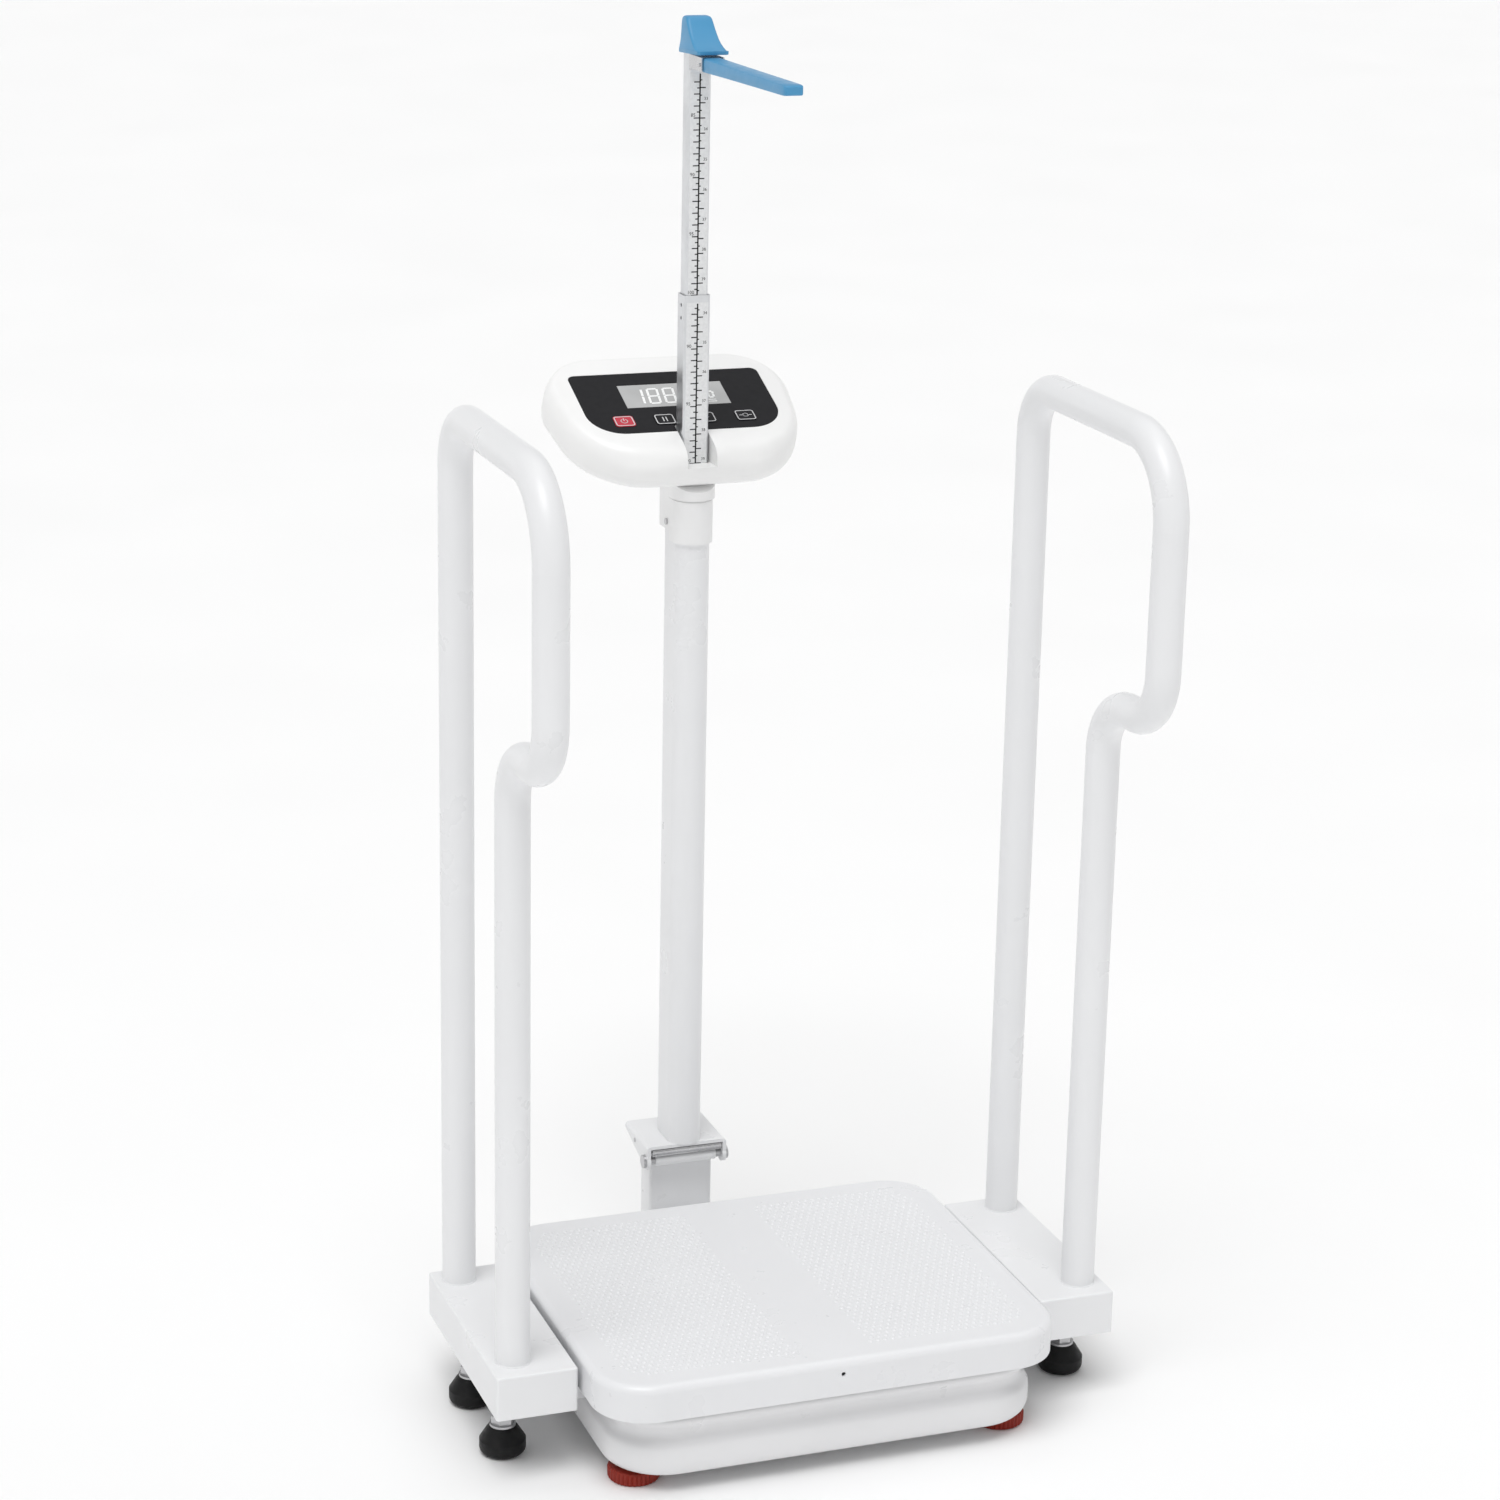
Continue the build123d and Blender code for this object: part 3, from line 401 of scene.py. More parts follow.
def make_studio():
    """A pale floor, a surround that is brightest at the horizon, and two wide soft lights."""
    world = bpy.data.worlds.new("studio")
    world.use_nodes = True
    tree = world.node_tree
    background = tree.nodes["Background"]
    background.inputs["Color"].default_value = (1.0, 1.0, 1.0, 1)
    # white at the horizon, where it meets the floor, and calmer overhead
    coords = tree.nodes.new("ShaderNodeTexCoord")
    split = tree.nodes.new("ShaderNodeSeparateXYZ")
    span = tree.nodes.new("ShaderNodeMapRange")
    span.inputs["From Min"].default_value = GLOW_BAND[0]
    span.inputs["From Max"].default_value = GLOW_BAND[1]
    span.inputs["To Min"].default_value = GLOW_HORIZON
    span.inputs["To Max"].default_value = GLOW_OVERHEAD
    tree.links.new(coords.outputs["Generated"], split.inputs["Vector"])
    tree.links.new(split.outputs["Z"], span.inputs["Value"])
    tree.links.new(span.outputs["Result"], background.inputs["Strength"])
    bpy.context.scene.world = world
    soft_sun("key_light", -38.0, 68.0, 36.0, 1.58)
    soft_sun("fill_light", 130.0, 70.0, 50.0, 0.35)
    bm = bmesh.new()
    bmesh.ops.create_grid(bm, x_segments=8, y_segments=8, size=FLOOR_HALF)
    floor = bpy.data.objects.new("studio_floor", mesh_from(bm, "studio_floor"))
    floor.location.z = FLOOR_Z
    finish = Finish("floor_pale", (0.95, 0.95, 0.95), 0.6)
    finish.gloss(finish.noise(0.4, 3), 0.55, 0.7)
    floor.data.materials.append(finish.material)
    bpy.context.scene.collection.objects.link(floor)
    bpy.context.scene.view_settings.view_transform = "Standard"
    bpy.context.scene.view_settings.look = "None"


make_camera()
make_studio()

# ------------------------------------------------------------------ cut outs


def temporary(bm, name):
    """An object that is only there to cut with."""
    thing = bpy.data.objects.new(name, mesh_from(bm, name))
    bpy.context.scene.collection.objects.link(thing)
    return thing


def carve(mesh, cutters, additions=()):
    """The mesh with the additions joined on and each cutter's volume taken away."""
    work = bpy.data.objects.new("carve", mesh)
    bpy.context.scene.collection.objects.link(work)
    steps = [(thing, "UNION") for thing in additions]
    steps.extend((thing, "DIFFERENCE") for thing in cutters)
    for thing, operation in steps:
        step = work.modifiers.new("step", "BOOLEAN")
        step.operation = operation
        step.solver = "EXACT"
        step.object = thing
    bpy.context.view_layer.update()
    result = bpy.data.meshes.new_from_object(
        work.evaluated_get(bpy.context.evaluated_depsgraph_get())
    )
    for thing in (work, *cutters, *additions):
        bpy.data.objects.remove(thing)
    return result


def box_cutter(low, high):
    """A cutter box in the part's own axes."""
    bm = bmesh.new()
    round_box(bm, low, high)
    return temporary(bm, "cutter")


def corner_ring(half, front, back, front_r, back_r, steps=12):
    """Points round a rectangle with large corners, anticlockwise from the right front corner."""
    ring = []
    for cx, cy, radius, start in (
        (half - front_r, front + front_r, front_r, -90),
        (half - back_r, back - back_r, back_r, 0),
        (back_r - half, back - back_r, back_r, 90),
        (front_r - half, front + front_r, front_r, 180),
    ):
        for i in range(steps + 1):
            angle = math.radians(start + 90 * i / steps)
            ring.append((cx + radius * math.cos(angle), cy + radius * math.sin(angle)))
    return ring


def along_runs(ring, step):
    """The ring with its long straight runs cut into shorter ones."""
    fine = []
    for index, (x, y) in enumerate(ring):
        nx, ny = ring[(index + 1) % len(ring)]
        fine.append((x, y))
        parts = int(math.hypot(nx - x, ny - y) / step)
        fine.extend((x + (nx - x) * k / (parts + 1), y + (ny - y) * k / (parts + 1))
                    for k in range(1, parts + 1))
    return fine


# ------------------------------------------------------------------ base pan

PAN_WALL = 1.6 * MM
PAN_PROFILE = (             # share of the height, and mm that the wall stands in from the lip
    (0.00, 11.0), (0.008, 8.4), (0.03, 6.0), (0.07, 4.0), (0.12, 2.6), (0.20, 1.5), (0.34, 1.4),
    (0.50, 1.9), (0.56, 3.2), (0.61, 5.4), (0.67, 7.4), (0.74, 8.2), (0.82, 7.6), (0.89, 5.2),
    (0.94, 2.4), (0.975, 1.0), (1.01, 0.2), (1.04, 0.0), (1.08, 0.2), (1.10, 0.8), (1.18, 0.8),
)
PAN_RADIUS = 55.0 * MM
BAR_SLOT_REACH = 0.2        # the cross bars' slots run right through the pan
BAR_SLOT_HALF = 16 * MM
ARM_SLOT_HALF = 31 * MM     # the column arm's opening in the rear wall
ARM_SLOT_Z = (37 * MM, 67 * MM)
STUD_HOLE_R = 5.6           # mm


def pan_ring(low, high, share, inset, lift=0.0):
    """One level outline of the pan."""
    middle_y = (low.y + high.y) / 2
    outline = corner_ring(
        high.x - inset, low.y - middle_y + inset, high.y - middle_y - inset,
        PAN_RADIUS - inset, PAN_RADIUS - inset,
    )
    z = low.z + share * (high.z - low.z) + lift
    return [(x, y + middle_y, z) for x, y in outline]


def make_pan():
    """Deep drawn pan: rounded foot, upright band, waist and a lip that turns outwards."""
    low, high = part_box("base_pan")
    outer = [pan_ring(low, high, share, inset * MM) for share, inset in PAN_PROFILE]
    inner = [
        pan_ring(low, high, share, inset * MM + PAN_WALL, PAN_WALL if share < 0.05 else 0.0)
        for share, inset in reversed(PAN_PROFILE)
    ]
    bm = bmesh.new()
    skin(bm, outer + inner)
    mesh = mesh_from(bm, "base_pan_shape")
    cutters = []
    for end in ("front", "rear"):
        bar_y = centre(f"foot_stud_{end}_left").y
        bar_low, bar_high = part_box(f"cross_bar_{end}")
        cutters.append(box_cutter(
            (-BAR_SLOT_REACH, bar_y - BAR_SLOT_HALF, bar_low.z - 1.5 * MM),
            (BAR_SLOT_REACH, bar_y + BAR_SLOT_HALF, bar_high.z + 0.4 * MM),
        ))
    cutters.append(box_cutter(
        (-ARM_SLOT_HALF, high.y - 31 * MM, ARM_SLOT_Z[0]),
        (ARM_SLOT_HALF, high.y + 9 * MM, ARM_SLOT_Z[1]),
    ))
    for corner in CORNERS:
        foot = centre(f"levelling_stud_{corner}")
        bm = bmesh.new()
        turned(bm, foot.x, foot.y, ((-1.0, STUD_HOLE_R), (4.0, STUD_HOLE_R)), low.z, 32)
        cutters.append(temporary(bm, "cutter"))
    add_piece(
        "pan_shape", carve(mesh, cutters), "base", "frame_paint", PAN_PAINT, 40,
        replaces=("base_pan",)
    )


make_pan()

# ------------------------------------------------------------------ levelling knobs

RIBS = 34
RIB_DEPTH = 1.5 * MM
RIB_WAVE = (0.0, 0.15, 0.75, 1.0, 0.75, 0.15)       # one groove, as shares of its depth
KNOB_LEVELS = (             # mm above the sole, share of the radius, share of the groove's depth
    (0.0, 0.88, 0.0), (0.4, 0.945, 0.2), (1.2, 0.985, 0.9), (2.6, 1.0, 1.0), (8.6, 1.0, 1.0),
    (9.9, 0.985, 0.9), (10.6, 0.945, 0.2), (11.0, 0.88, 0.0), (11.1, 0.52, 0.0),
    (11.4, 0.50, 0.0), (14.4, 0.50, 0.0),
)
BORE_TOP = 40.0             # mm above the sole, clear of the knob


def make_knob(corner):
    """Ribbed foot knob with a rounded rim, a shoulder and a flat sole, bored for its stud."""
    name = f"levelling_knob_{corner}"
    low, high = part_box(name)
    middle = (low + high) / 2
    radius = (high.x - low.x) / 2
    count = RIBS * len(RIB_WAVE)
    rings = []
    for rise, share, depth in KNOB_LEVELS:
        ring = []
        for i in range(count):
            angle = math.tau * i / count
            reach = radius * share - RIB_DEPTH * depth * RIB_WAVE[i % len(RIB_WAVE)]
            ring.append((
                middle.x + reach * math.cos(angle), middle.y + reach * math.sin(angle),
                low.z + rise * MM,
            ))
        rings.append(ring)
    bm = bmesh.new()
    skin(bm, rings)
    mesh = mesh_from(bm, f"knob_shape_{corner}")
    stud_low, stud_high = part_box(f"levelling_stud_{corner}")
    stud_radius = (stud_high.x - stud_low.x) / 2 / MM
    bottom = (stud_low.z - low.z) / MM - 0.02
    bore = bmesh.new()
    turned(bore, middle.x, middle.y, ((bottom, stud_radius), (BORE_TOP, stud_radius)), low.z, 32)
    add_piece(
        f"knob_shape_{corner}", carve(mesh, [temporary(bore, "cutter")]),
        f"levelling_foot_{corner}", "knob_red", sharp=50, replaces=(name,),
    )


for corner in CORNERS:
    make_knob(corner)

# ------------------------------------------------------------------ display housing

POD_PLATEAU = (98.0, -61.0, 67.0, 46.0, 34.0)       # half width, front, back, corner radii, mm
POD_WIDEST = (113.0, -86.0, 73.0, 66.0, 56.0)
POD_SPLIT = -24.0           # the line between the front and back shells, mm below the panel
POD_ROUNDNESS = 2.8         # power of the flank's roll: 2 is round, more is squarer
POD_TAPER = 0.135           # how much narrower the housing is at its front edge
POD_TAPER_FROM = 22.0       # where on v the taper begins, and how far it runs
POD_TAPER_RUN = 108.0
POD_POINTS = 240            # points on each outline
POD_STEPS = 14              # outlines down the flank
ROD_SLOT_HALF = 0.0124
SLOT_FLOOR = 0.70
NOTCH_FLOOR = 0.766         # foot of the notch that shows the rod; the outer rule is read there
WAY_TOP = 0.90


def pod_level(share):
    """Outline of the housing for a share of the way from its flat front to its widest line."""
    sizes = [a + (b - a) * share for a, b in zip(POD_PLATEAU, POD_WIDEST)]
    ring = []
    for u, v in along_runs(corner_ring(*sizes, steps=14), 6.0):
        toward = max(0.0, (POD_TAPER_FROM - v) / POD_TAPER_RUN)
        ring.append((u * (1 - POD_TAPER * toward ** 1.15 * (0.55 + 0.45 * share)), v))
    return ring


def hollow(u, v):
    """Depth of the two shallow hollows beside the rod and of the swelling under it."""
    side = math.exp(-((abs(u) - 52) / 26) ** 2) * math.exp(-((v + 76) / 11) ** 2)
    nose = math.exp(-(u / 22) ** 4) * math.exp(-((v + 78) / 9) ** 2)
    return 3.4 * side - 1.6 * nose


def resample(ring, count):
    """The ring walked at equal steps, starting at its front middle."""
    closed = ring + ring[:1]
    marks = [0.0]
    for (x0, y0), (x1, y1) in zip(closed, closed[1:]):
        marks.append(marks[-1] + math.hypot(x1 - x0, y1 - y0))
    points = []
    index = 0
    for k in range(count):
        goal = marks[-1] * k / count
        while marks[index + 1] < goal:
            index += 1
        part = (goal - marks[index]) / max(marks[index + 1] - marks[index], 1e-9)
        (x0, y0), (x1, y1) = closed[index], closed[index + 1]
        points.append((x0 + (x1 - x0) * part, y0 + (y1 - y0) * part))
    return points


def panel_cutter(ring, w_low, w_high):
    """A cutter with straight walls across the panel, from an outline in millimetres."""
    bm = bmesh.new()
    skin(bm, [[on_panel(u * MM, v * MM, w * MM) for u, v in ring] for w in (w_low, w_high)])
    return temporary(bm, "cutter")


def rod_way_cutters():
    """The notch in front of the rod, and the close slot that the rod itself runs in."""
    low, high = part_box("rod_outer")
    notch = high.x + 1.4 * MM
    return (
        box_cutter(
            (-notch, low.y - 44.5 * MM, NOTCH_FLOOR), (notch, high.y + 1.0 * MM, WAY_TOP)
        ),
        box_cutter(
            (-ROD_SLOT_HALF, low.y - 0.4 * MM, SLOT_FLOOR),
            (ROD_SLOT_HALF, high.y + 0.4 * MM, WAY_TOP),
        ),
    )


def make_housing():
    """The front shell: a flat face that rolls over into full, soft flanks."""
    rings = []
    for inner in (0.35, 0.7):
        rings.append([
            on_panel(u * inner * MM, (3 + (v - 3) * inner) * MM, 0)
            for u, v in resample(pod_level(0.0), POD_POINTS)
        ])
    for k in range(POD_STEPS + 1):
        share = math.sin(math.pi / 2 * k / POD_STEPS) ** 1.15
        drop = 1 - (1 - share ** POD_ROUNDNESS) ** (1 / POD_ROUNDNESS)
        ring = []
        for u, v in resample(pod_level(share), POD_POINTS):
            w = POD_SPLIT * drop - hollow(u, v) * min(1.0, 4 * drop) * (1 - drop ** 3)
            ring.append(on_panel(u * MM, v * MM, w * MM))
        rings.append(ring)
    bm = bmesh.new()
    skin(bm, rings)
    mesh = mesh_from(bm, "housing_shape")
    room = [
        (16, -33), (16, -54), (70, -54), (92, -36), (95, 40), (70, 62), (-70, 62), (-95, 40),
        (-92, -36), (-70, -54), (-16, -54), (-16, -33),
    ]
    fascia_seat = corner_ring(88, -48, 44.5, 31, 7)
    lcd_window = [(-48, -10), (50, -10), (50, 28), (-48, 28)]
    cutters = [
        panel_cutter(room, -40, -3.2),
        *rod_way_cutters(),
        panel_cutter(fascia_seat, -1.1, 3),
        panel_cutter(lcd_window, -5, 3),
    ]
    pitch = (centre("key_tare").x - centre("key_power").x) / 3
    for index in range(len(KEYS)):
        u = (centre("key_power").x + index * pitch) / MM
        cutters.append(panel_cutter(
            [(u + x, KEY_V / MM + y) for x, y in corner_ring(9.3, -8.1, 8.1, 3, 3, 5)], -5, 3
        ))
    add_piece(
        "housing_shape", carve(mesh, cutters), "column", "housing_white",
        sharp=38, replaces=("indicator_front",),
    )


make_housing()

BACK_LEVELS = (             # height below the panel and share of the way out to the widest line
    (-24.0, 1.0), (-27.0, 0.99), (-30.0, 0.955), (-33.0, 0.87), (-35.5, 0.74), (-37.2, 0.59),
    (-38.0, 0.45),
)
DOOR_LOW = (-48.0, -9.0)    # the battery opening on the back, u and v
DOOR_HIGH = (48.0, 53.0)
SCREW_SPOTS = ((-88.0, -38.0), (88.0, -38.0), (-84.0, 48.0), (84.0, 48.0))
SCREW_WELL_R = 4.0
SCREW_LEVELS = ((3.2, -35.8), (3.2, -37.0), (2.6, -37.5), (0.9, -37.7), (0.7, -37.0))


def rectangle(u0, v0, u1, v1):
    """Corners of an upright rectangle on the panel."""
    return [(u0, v0), (u1, v0), (u1, v1), (u0, v1)]


def make_back_shell():
    """The back shell with its battery box, hollow beside it, and four screw wells."""
    rings = [
        [on_panel(u * MM, v * MM, w * MM) for u, v in resample(pod_level(share), POD_POINTS)]
        for w, share in BACK_LEVELS
    ]
    bm = bmesh.new()
    skin(bm, rings)
    mesh = mesh_from(bm, "back_shell_shape")
    (u0, v0), (u1, v1) = DOOR_LOW, DOOR_HIGH
    walls = panel_cutter(rectangle(u0 - 3, v0 - 3, u1 + 3, v1 + 3), -37.0, -16.0)
    cutters = [
        panel_cutter(rectangle(u0, v0, u1, v1), -40.0, -18.0),
        panel_cutter(rectangle(u0 + 4, -33, u1 - 4, v0 - 3.2), -35.5, -20.0),
        panel_cutter(rectangle(-92, -40, u0 - 3.2, 46), -35.5, -20.0),
        panel_cutter(rectangle(u1 + 3.2, -40, 92, 46), -35.5, -20.0),
        *rod_way_cutters(),
    ]
    for u, v in SCREW_SPOTS:
        cutters.append(panel_cutter(
            [(u + du, v + dv) for du, dv in circle(24, SCREW_WELL_R)], -40.0, -35.9
        ))
    add_piece(
        "back_shell_shape", carve(mesh, cutters, [walls]), "column", "housing_white",
        sharp=38, replaces=("indicator_back",),
    )
    bm = bmesh.new()
    for u, v in SCREW_SPOTS:
        skin(bm, [
            [on_panel((u + du) * MM, (v + dv) * MM, w * MM) for du, dv in circle(18, radius)]
            for radius, w in SCREW_LEVELS
        ])
    add_piece("back_screws", mesh_from(bm, "back_screws"), "column", "bare_steel")


def make_door_grip():
    """Finger ribs on the battery door."""
    bm = bmesh.new()
    for index in range(5):
        v = DOOR_LOW[1] + 6 + index * 2.6
        levels = []
        for half, thick, w in ((14.0, 0.8, -37.7), (14.0, 0.8, -38.3), (13.4, 0.3, -38.7)):
            levels.append([
                on_panel(a * MM, (v + b) * MM, w * MM)
                for a, b in rectangle(-half, -thick, half, thick)
            ])
        skin(bm, levels)
    add_piece(
        "battery_door_grip", mesh_from(bm, "battery_door_grip"), "battery_door", "housing_white"
    )


make_back_shell()
make_door_grip()

# ------------------------------------------------------------------ display and keys

INK_UP = 0.06 * MM


def panel_strip(bm, corners, w, thick=0.05 * MM):
    """A thin flat patch on the panel with its corners given in millimetres."""
    skin(bm, [
        [on_panel(u * MM, v * MM, w - thick) for u, v in corners],
        [on_panel(u * MM, v * MM, w) for u, v in corners],
    ])


def stroke(bm, points, width, w):
    """A line of even width through points on the panel, in millimetres."""
    for (u0, v0), (u1, v1) in zip(points, points[1:]):
        length = math.hypot(u1 - u0, v1 - v0)
        du, dv = (u1 - u0) / length * width / 2, (v1 - v0) / length * width / 2
        panel_strip(bm, [
            (u0 - du + dv, v0 - dv - du), (u1 + du + dv, v1 + dv - du),
            (u1 + du - dv, v1 + dv + du), (u0 - du - dv, v0 - dv + du),
        ], w)


# the lit segments of each numeral: top, two right, foot, two left, bar
SEGMENTS = {"1": "bc", "8": "abcdefg", "0": "abcdef"}
SEGMENT_GAP = 0.5
SEGMENT_THICK = 2.1
SEGMENT_LEAN = 0.10


def digit(bm, text, u, v, width, height, w):
    """One slanting seven-segment numeral."""
    gap = SEGMENT_GAP
    spots = {
        "a": ((gap, height), (width - gap, height)),
        "b": ((width, height - gap), (width, height / 2 + gap)),
        "c": ((width, height / 2 - gap), (width, gap)),
        "d": ((gap, 0), (width - gap, 0)),
        "e": ((0, height / 2 - gap), (0, gap)),
        "f": ((0, height - gap), (0, height / 2 + gap)),
        "g": ((gap, height / 2), (width - gap, height / 2)),
    }
    for key in SEGMENTS[text]:
        (x0, y0), (x1, y1) = spots[key]
        trim = SEGMENT_THICK * 0.45
        if y0 == y1:
            ends = [(x0 + trim, y0), (x1 - trim, y1)]
        else:
            ends = [(x0, y0 - trim), (x1, y1 + trim)]
        stroke(bm, [(u + x + SEGMENT_LEAN * y, v + y) for x, y in ends], SEGMENT_THICK, w)


def make_display():
    """Pale numerals on the grey display, with two small marks beside them."""
    bm = bmesh.new()
    w = LCD_W + INK_UP
    for index, text in enumerate("188"):
        digit(bm, text, -38 + index * 14.5, -2.5, 9.0, 22.0, w)
    panel_strip(bm, [(5.2, -3.6), (7.4, -3.6), (7.4, -1.4), (5.2, -1.4)], w)
    digit(bm, "8", 11.0, -2.5, 9.0, 22.0, w)
    digit(bm, "0", 31.5, 2.5, 4.5, 9.0, w)
    for v in (-4.0, -1.2):
        stroke(bm, [(29.5, v), (36.5, v)], 0.9, w)
    add_piece(
        "display_numerals", mesh_from(bm, "display_numerals"), "column", "lcd_face", SEGMENT_PALE
    )


def key_outline(bm, u, v, w):
    """A rounded outline just inside the edge of a key."""
    outer = corner_ring(8.4, -7.1, 7.1, 2.4, 2.4, 6)
    inner = corner_ring(7.5, -6.2, 6.2, 1.6, 1.6, 6)
    levels = []
    for ring, height in ((outer, w - 0.05 * MM), (outer, w), (inner, w), (inner, w - 0.05 * MM)):
        levels.append([on_panel((u + x) * MM, (v + y) * MM, height) for x, y in ring])
    skin(bm, levels, closed=True)


def arc(u, v, radius, start, end, steps=14):
    """Points of an arc on the panel."""
    angles = [math.radians(start + (end - start) * i / steps) for i in range(steps + 1)]
    return [(u + radius * math.cos(a), v + radius * math.sin(a)) for a in angles]


def key_icon(bm, name, u, v, w):
    """A plain sign for each key: on and off, hold, next and back to nought."""
    if name == "key_power":
        stroke(bm, arc(u, v, 2.9, 125, 415), 0.75, w)
        stroke(bm, [(u, v + 0.6), (u, v + 3.8)], 0.75, w)
    elif name == "key_hold":
        for du in (-1.5, 1.5):
            stroke(bm, [(u + du, v - 2.6), (u + du, v + 2.8)], 1.0, w)
    elif name == "key_mode":
        for du in (-2.4, 0.6):
            stroke(bm, [(u + du, v - 2.6), (u + du + 2.2, v), (u + du, v + 2.6)], 0.8, w)
    else:
        stroke(bm, arc(u, v, 2.3, 0, 360, 20), 0.8, w)
        for du in (-1, 1):
            stroke(bm, [(u + du * 5.4, v), (u + du * 3.4, v)], 0.8, w)


def make_keys():
    """Outline and sign on each key; they move with the key."""
    for name in KEYS:
        bm = bmesh.new()
        u = centre(name).x / MM
        w = 0.3 * MM + INK_UP
        key_outline(bm, u, KEY_V / MM, w)
        key_icon(bm, name, u, KEY_V / MM, w)
        add_piece(
            f"{name}_print", mesh_from(bm, f"{name}_print"), f"{name}_cap",
            "key_red" if name == "key_power" else "key_black", INK_PALE,
        )


make_display()
make_keys()

# ------------------------------------------------------------------ head of the rod


HOOD_LEVELS = (             # share of height, half width share, front and back as depth shares
    (0.000, 0.98, 0.01, 1.00), (0.02, 1.00, 0.00, 1.00), (0.10, 1.00, 0.00, 1.00),
    (0.14, 0.985, 0.05, 1.00), (0.18, 0.965, 0.125, 1.00), (0.24, 0.94, 0.22, 1.00),
    (0.32, 0.91, 0.32, 1.00), (0.42, 0.89, 0.41, 1.00), (0.54, 0.875, 0.49, 1.00),
    (0.66, 0.86, 0.565, 1.00), (0.78, 0.845, 0.63, 1.00), (0.87, 0.83, 0.675, 1.00),
    (0.93, 0.805, 0.705, 0.995), (0.97, 0.76, 0.735, 0.98), (0.99, 0.69, 0.765, 0.955),
    (1.00, 0.60, 0.80, 0.92),
)
BRIM_SAG = 2.0 * MM
BRIM_SHARE = 0.12           # the brim's share of the hood's height
ARM_STATIONS = (            # mm from the tip, foot, top, half width share, bevel
    (0.0, -1.8, 3.6, 0.80, 0.8), (1.2, -3.0, 4.8, 0.90, 1.2), (4.0, -3.4, 5.3, 0.97, 1.7),
    (9.0, -3.7, 5.4, 1.0, 1.9), (60.0, -4.2, 5.5, 1.0, 2.0), (120.0, -4.9, 5.7, 1.0, 2.1),
    (170.0, -5.6, 5.9, 1.0, 2.2), (186.0, -5.9, 6.0, 1.0, 2.2), (198.0, -6.0, 6.0, 1.0, 2.0),
    (201.0, -5.2, 5.2, 1.0, 1.6), (203.2, -3.4, 3.4, 1.0, 1.0), (204.0, -1.5, 1.5, 1.0, 0.5),
)
ARM_LENGTH = 0.204          # the length that the stations are given for
ARM_PIN_HOLE_R = 1.56 * MM


def make_hood():
    """Cap on the rod's end: rounded top, leaning front and a flared brim."""
    low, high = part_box("head_cap")
    tall = high.z - low.z
    rings = []
    depth = high.y - low.y
    for rise, wide, front, back in HOOD_LEVELS:
        half = high.x * wide
        y0, y1 = low.y + depth * front, low.y + depth * back
        radius = min(3.0 * MM, half * 0.4, (y1 - y0) * 0.3)
        ring = corner_ring(half, y0, y1, radius, radius, 6)
        sag = BRIM_SAG if rise < BRIM_SHARE else 0.0
        rings.append([
            (x, y, low.z + rise * tall + sag * (y1 - y) / (y1 - y0)) for x, y in ring
        ])
    bm = bmesh.new()
    skin(bm, rings)
    mesh = mesh_from(bm, "hood_shape")
    rod_low, rod_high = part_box("rod_inner")
    socket = box_cutter(
        (rod_low.x - 0.05 * MM, rod_low.y - 0.05 * MM, low.z - 0.02),
        (rod_high.x + 0.05 * MM, rod_high.y + 0.05 * MM, rod_high.z + 0.05 * MM),
    )
    add_piece(
        "hood_shape", carve(mesh, [socket]), "inner_rod", "head_blue",
        sharp=42, replaces=("head_cap",),
    )


def make_arm():
    """The measuring arm: bevelled bar with a round root and a slanted tip."""
    low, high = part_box("head_arm")
    pivot = centre("arm_pin")
    half = high.x
    rings = []
    for reach, foot, top, wide, bevel in ARM_STATIONS:
        h, b = half * wide, bevel * MM
        y = low.y + reach * MM * (high.y - low.y) / ARM_LENGTH
        z0, z1 = pivot.z + foot * MM, pivot.z + top * MM
        rings.append([
            (-h + b, y, z0), (h - b, y, z0), (h - 0.3 * b, y, z0 + 0.3 * b), (h, y, z0 + b),
            (h, y, z1 - b), (h - 0.3 * b, y, z1 - 0.3 * b), (h - b, y, z1), (-h + b, y, z1),
            (-h + 0.3 * b, y, z1 - 0.3 * b), (-h, y, z1 - b), (-h, y, z0 + b),
            (-h + 0.3 * b, y, z0 + 0.3 * b),
        ])
    bm = bmesh.new()
    skin(bm, rings)
    mesh = mesh_from(bm, "arm_shape")
    hole = bar_along_x(
        pivot.y, pivot.z, ((-0.02, ARM_PIN_HOLE_R), (0.02, ARM_PIN_HOLE_R)), 24
    )
    add_piece(
        "arm_shape", carve(mesh, [temporary(hole, "cutter")]), "measuring_arm", "head_blue",
        sharp=24, replaces=("head_arm",),
    )


make_hood()
make_arm()

# ------------------------------------------------------------------ hinge and latch

BARREL_R = 5.4 * MM
BARREL_HALF = 29 * MM
HINGE_HOLE_R = 4.06 * MM
UPRIGHT_TOP = 122 * MM
UPRIGHT_DEPTH = 28 * MM
UPRIGHT_CORNER = 3.4 * MM
UPRIGHT_WALL = 3 * MM


